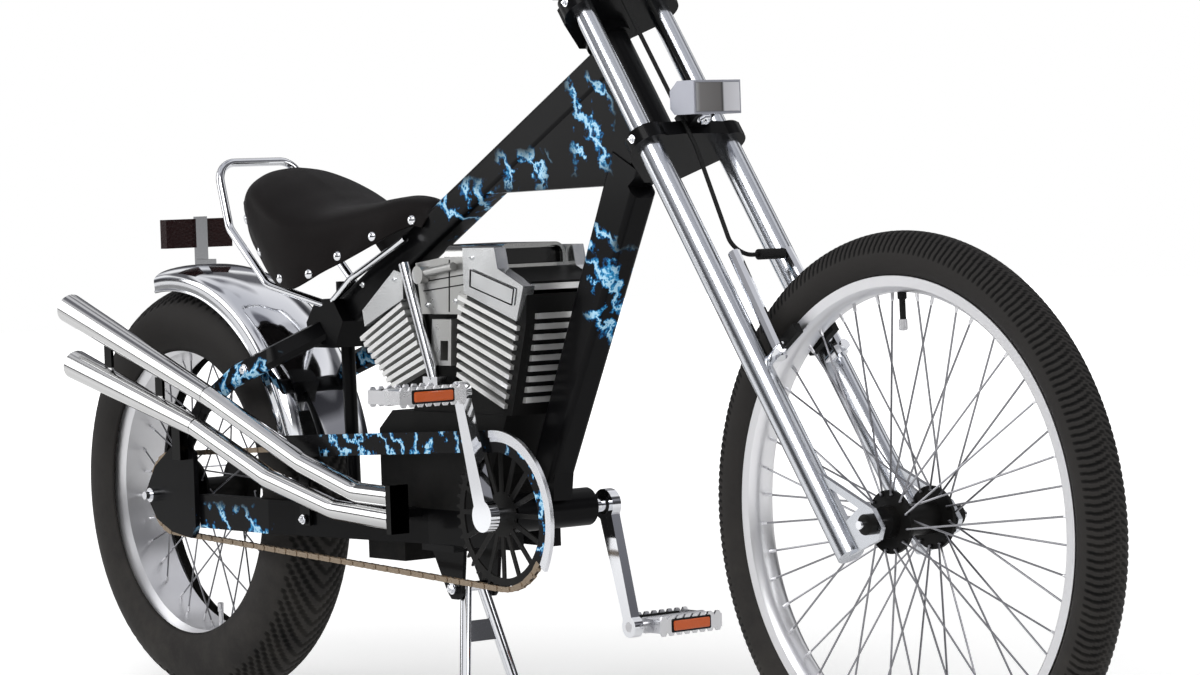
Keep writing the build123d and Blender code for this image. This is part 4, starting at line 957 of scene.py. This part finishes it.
def rim_shape(centre, rim_r, half, deep, segments=160):
    lip = [(rim_r, half), (rim_r + 0.4, half - 1.2), (rim_r - 0.6, half - 2.4), (rim_r - 7, half - 2.6)]
    well = [(rim_r - deep, half * 0.3), (rim_r - deep + 1, half * 0.55), (rim_r - 12.5, half - 1.0),
            (rim_r - 11, half)]
    section = lip + mirrored_half(lip) + mirrored_half(well) + well
    rows = [[on_wheel(centre, r, y, 2 * pi * k / segments) for r, y in section] for k in range(segments)]
    shape = new_shape()
    add_grid(shape, rows, round_rows=True)
    return shape


rim_hoop = piece_of(rim_shape(front_axle, FRONT_RIM_R, 17.5, FRONT_RIM_DEEP), "front_rim_hoop",
                    "front_wheel", "rim_alloy", crease=30)
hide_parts("front_rim")

# %% [markdown]
# ## Spokes and nipples
# Each wheel has thin round spokes between the hub's flanges and the rim, with an alloy nipple
# at the rim. They cross less than the CAD's rods do, so that each has its own place on the rim.

# %% Spokes
SPOKE_R = 1.15
SPOKE_HEAD = [(0, 1.4), (2.4, 1.4), (3.2, 0.8)]
NIPPLE = [(-1, 2.0), (7, 1.9), (9, 1.3)]


def spoke_shape(centre, count, flange_r, flange_y, rim_r, rim_deep, crossing):
    wires, nipples = new_shape(), new_shape()
    per_side = count // 2
    start_r, end_r = flange_r - 4.0, rim_r - rim_deep - 0.3
    lean = flange_y * 4.0 / (end_r - start_r) * 1.5
    for k in range(count):
        side = 1 if k % 2 else -1
        step = k // 2
        lead = 1 if step % 2 else -1
        hub_turn = 2 * pi * (step + 0.25 * side) / per_side
        rim_turn = hub_turn + lead * 2 * pi * crossing / per_side
        hub_y = side * (flange_y + lead * (3.7 + lean))
        start = on_wheel(centre, start_r, -hub_y, hub_turn)
        end = on_wheel(centre, end_r, -side * 3, rim_turn)
        out = RIGHT * side * lead
        add_turned(wires, start, end - start, [(0, SPOKE_R), ((end - start).length / MM, SPOKE_R)], 8)
        add_turned(wires, start - out * 2.2 * MM, out, SPOKE_HEAD, 8)
        add_turned(nipples, end, start - end, NIPPLE, 8)
    return wires, nipples


SPOKING = {"front": (front_axle, 48, 34.0, 30.0, FRONT_RIM_R, FRONT_RIM_DEEP, 1),
           "rear": (rear_axle, 36, 45.0, 40.0, REAR_RIM_R, 24.0, 2)}
for wheel, measures in SPOKING.items():
    wires, nipples = spoke_shape(*measures)
    wire_piece = piece_of(wires, wheel + "_spoke_wires", wheel + "_wheel", "spoke_steel")
    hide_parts(wheel + "_spokes")
    piece_of(nipples, wheel + "_nipples", wheel + "_wheel", "rim_alloy")

# %% [markdown]
# ## Small metal
# Nuts hold the frame's brackets and the stand, smaller bolts hold the engine's covers, and a
# valve points in from each rim. Each row of a bolt table gives its place in the side view, how
# far out it sits on both sides, and its size.

# %% Nuts, bolts and valves
FRAME_BOLTS = [(-13, 279, 95.5, 6), (226, 451, 91, 6), (335, 262, 80, 5), (591, 186, 33, 6)]
ENGINE_BOLTS = [(470, 560, 67, 2.8), (538, 566, 67, 2.8), (702, 592, 67, 2.8), (655, 540, 58, 2.8),
                (596, 535, 58, 2.8)]
for name, table, metal in (("frame_bolts", FRAME_BOLTS, None), ("engine_bolts", ENGINE_BOLTS, cover_metal)):
    bolts = new_shape()
    for x, z, y, radius in table:
        add_nut(bolts, at(x, -y, z), RIGHT, radius, radius * 0.8)
        add_nut(bolts, at(x, y, z), LEFT, radius, radius * 0.8)
    piece_of(bolts, name, "frame", "chrome", metal, crease=30)

FRONT_VALVE_X, FRONT_VALVE_Z = 1388, 541
FRONT_VALVE_R, REAR_VALVE_R = 237, 189
FRONT_STEM = [(-6, 5), (2, 5), (3, 3.4), (24, 3.4)]
FRONT_CAP = [(0, 4.6), (11, 4.6), (12, 3.4)]
REAR_STEM = [(0, 5), (2, 5), (3, 3.2), (22, 3.2), (23, 4.2), (34, 4.2), (35, 3)]
valve_turn = atan2(FRONT_VALVE_Z - FRONT_AXLE_Z, FRONT_VALVE_X - WHEELBASE)
inward = Vector((-cos(valve_turn), 0, -sin(valve_turn)))
front_foot = front_axle - inward * FRONT_VALVE_R * MM
for name, foot, way, profile, slot in (
        ("front_valve", front_foot, inward, FRONT_STEM, "grip_rubber"),
        ("front_valve_cap", front_foot + inward * FRONT_STEM[-1][0] * MM, inward, FRONT_CAP, "rim_alloy"),
        ("rear_valve", rear_axle - UP * REAR_VALVE_R * MM, UP, REAR_STEM, "rim_alloy")):
    stem = new_shape()
    add_turned(stem, foot, way, profile, 16)
    piece_of(stem, name, name.split("_")[0] + "_wheel", slot)

# %% [markdown]
# ## Fork and handlebar fittings
# These lie along the raked fork, so a small function gives points in its own frame: forward of
# the legs, to the left, and up along them from the axle. The grips are ribbed rubber sleeves
# with a flange, each leg has a cap, bolts pinch the crowns, and black caps cover the axle's nuts.

# %% Fork and handlebar fittings
RAKE = radians(54.35)
FORK_UP = Vector((-cos(RAKE), 0, sin(RAKE)))
FORK_FRONT = Vector((sin(RAKE), 0, cos(RAKE)))
AXLE_AHEAD = 50.5
LOWER_CROWN, UPPER_CROWN = 546, 743
LEG_TOP = 775
BAR_UP = 812.0
RIB_PITCH = 6.6


def on_fork(x, y, z):
    """A point beside the legs: x ahead of them, y to the left and z up along them from the axle."""
    return front_axle + (FORK_FRONT * (x - AXLE_AHEAD) + FORK_UP * z + LEFT * y) * MM


sleeve = [(0, 12), (0.5, 19), (3.5, 19), (5, 14.5)]
for k in range(16):
    sleeve += [(along + RIB_PITCH * k, r) for along, r in ((8, 14.6), (9, 15.9), (12, 15.9), (13, 14.6))]
sleeve += [(116, 16), (123, 16.4), (125.2, 14.5), (126, 8)]
LEG_CAP = [(0, 12.5), (0.6, 13.4), (3, 13.4), (5, 11), (6, 5)]
AXLE_CAP = [(0, 11.2), (8.6, 11.2), (9.6, 9.6), (9.8, 5.4)]
grips, fittings, caps = new_shape(), new_shape(), new_shape()
for hand in (-1, 1):
    out = LEFT * hand
    tip = on_fork(-205, hand * 312, BAR_UP + 150)
    way = (tip - on_fork(-48, hand * 262, BAR_UP + 200)).normalized()
    add_turned(grips, tip - way * 119 * MM, way, sleeve, 28)
    add_turned(fittings, on_fork(0, hand * 55.5, LEG_TOP), FORK_UP, LEG_CAP, 24)
    for crown in (LOWER_CROWN, UPPER_CROWN):
        add_nut(fittings, on_fork(4, hand * 79.2, crown), out, 4, 3.4)
    for x in (-52, -28):
        add_nut(fittings, on_fork(x, hand * 26, BAR_UP + 16), FORK_UP, 3.2, 3)
    add_turned(caps, on_fork(AXLE_AHEAD, hand * 58.8, 0), out, AXLE_CAP, 28)
add_nut(fittings, on_fork(-40, 0, UPPER_CROWN + 11), FORK_UP, 8, 7)
add_nut(fittings, on_fork(42, 0, LOWER_CROWN), -FORK_UP, 7, 6)
sleeves = piece_of(grips, "grip_sleeves", "fork", "grip_rubber", crease=25)
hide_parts("grips")
piece_of(fittings, "fork_fittings", "fork", "chrome", crease=30)
piece_of(caps, "front_axle_caps", "fork", "hub_black", crease=30)

# %% [markdown]
# A black cap with its bolt closes each crank. It sits on the crank's boss, whose outer face is
# found as the furthest point near the cranks' own axle.

# %% Crank caps
BORE_R = 0.013
CRANK_CAP = [(0, 11.5), (1.5, 11.5), (2.2, 10.5), (2.2, 7), (1.2, 6.5)]
crank_centre = at(BB_X, 0, BB_Z)
crank_caps, crank_bolts = new_shape(), new_shape()
for hand in (-1, 1):
    boss = max(p.co.y * hand for p in nodes["cranks"].data.vertices
               if hypot(p.co.x - crank_centre.x, p.co.z - crank_centre.z) < BORE_R)
    foot = crank_centre + LEFT * hand * (boss - 0.0003)
    add_turned(crank_caps, foot, LEFT * hand, CRANK_CAP, 28)
    add_nut(crank_bolts, foot + LEFT * hand * 0.001, LEFT * hand, 5, 4)
piece_of(crank_caps, "crank_caps", "crank", "hub_black", crease=30)
piece_of(crank_bolts, "crank_bolts", "crank", "chrome", crease=30)

# %% [markdown]
# ## Thin lines on the engine
# Dark lines frame the inset panel of each front cover and cross the middle cover, as the seams
# of pressed plates do.

# %% Seams
PANEL = [(700, 558), (702, 578), (788, 555), (783, 536)]
PANEL_Y, MIDDLE_Y = 69.2, 58.1
MIDDLE_LINES = [(586, 563, 676, 572), (588, 552, 674, 560), (640, 527, 644, 590)]
seams = new_shape()
for hand in (-1, 1):
    for (x0, z0), (x1, z1) in zip(PANEL, PANEL[1:] + PANEL[:1]):
        add_wire(seams, [at(x0, hand * PANEL_Y, z0), at(x1, hand * PANEL_Y, z1)], 0.9, 6)
    for x0, z0, x1, z1 in MIDDLE_LINES:
        add_wire(seams, [at(x0, hand * MIDDLE_Y, z0), at(x1, hand * MIDDLE_Y, z1)], 0.8, 6)
piece_of(seams, "cover_seams", "frame", "hub_black", crease=None)

# %% [markdown]
# ## Pedal reflectors
# Each pedal has an amber reflector in a black frame on its front and back edge. They are flat
# boxes with rounded corners and a fine prism pattern, which the finish gives as bump.

# %% Amber reflectors
PEDAL_Y = 155.0
SUNK = 4.0
FRAME_HALF, FRAME_RISE = (3.5, 31, 8.5), 1.5
TILE_HALF, TILE_RISE = (3.5, 28, 6), 3.2
CORNER, CHAMFER = 1.5, 1.2
amber = finish("reflector_amber", (0.55, 0.09, 0.01), 0, 0.2, 0.08, bump=0.8, bump_scale=320)


def add_tile(shape, middle, half, face):
    """A flat tile with rounded corners and a chamfered front, which faces ahead (1) or back (-1)."""
    hx, hy, hz = half
    rows = []
    for x, inset in ((-hx, 0), (hx - CHAMFER, 0), (hx, CHAMFER)):
        y, z = hy - inset, hz - inset
        corners = [(-y + CORNER, -z), (y - CORNER, -z), (y, -z + CORNER), (y, z - CORNER),
                   (y - CORNER, z), (-y + CORNER, z), (-y, z - CORNER), (-y, -z + CORNER)]
        rows.append([middle + Vector((x * face, a * face, b)) * MM for a, b in corners])
    add_closed(shape, rows)


for pedal in ("pedal_right", "pedal_left"):
    low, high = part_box(pedal)
    centre = (low + high) / 2
    middle_y = PEDAL_Y * MM * (-1 if centre.y < 0 else 1)
    tiles, frames = new_shape(), new_shape()
    for face, edge_x in ((-1, low.x), (1, high.x)):
        for shape, half, rise in ((frames, FRAME_HALF, FRAME_RISE), (tiles, TILE_HALF, TILE_RISE)):
            spot = Vector((edge_x + face * (rise - SUNK) * MM, middle_y, centre.z))
            add_tile(shape, spot, half, face)
    piece_of(frames, pedal + "_reflector_frames", pedal, "grip_rubber", crease=30)
    piece_of(tiles, pedal + "_reflectors", pedal, "reflector", amber, crease=30)
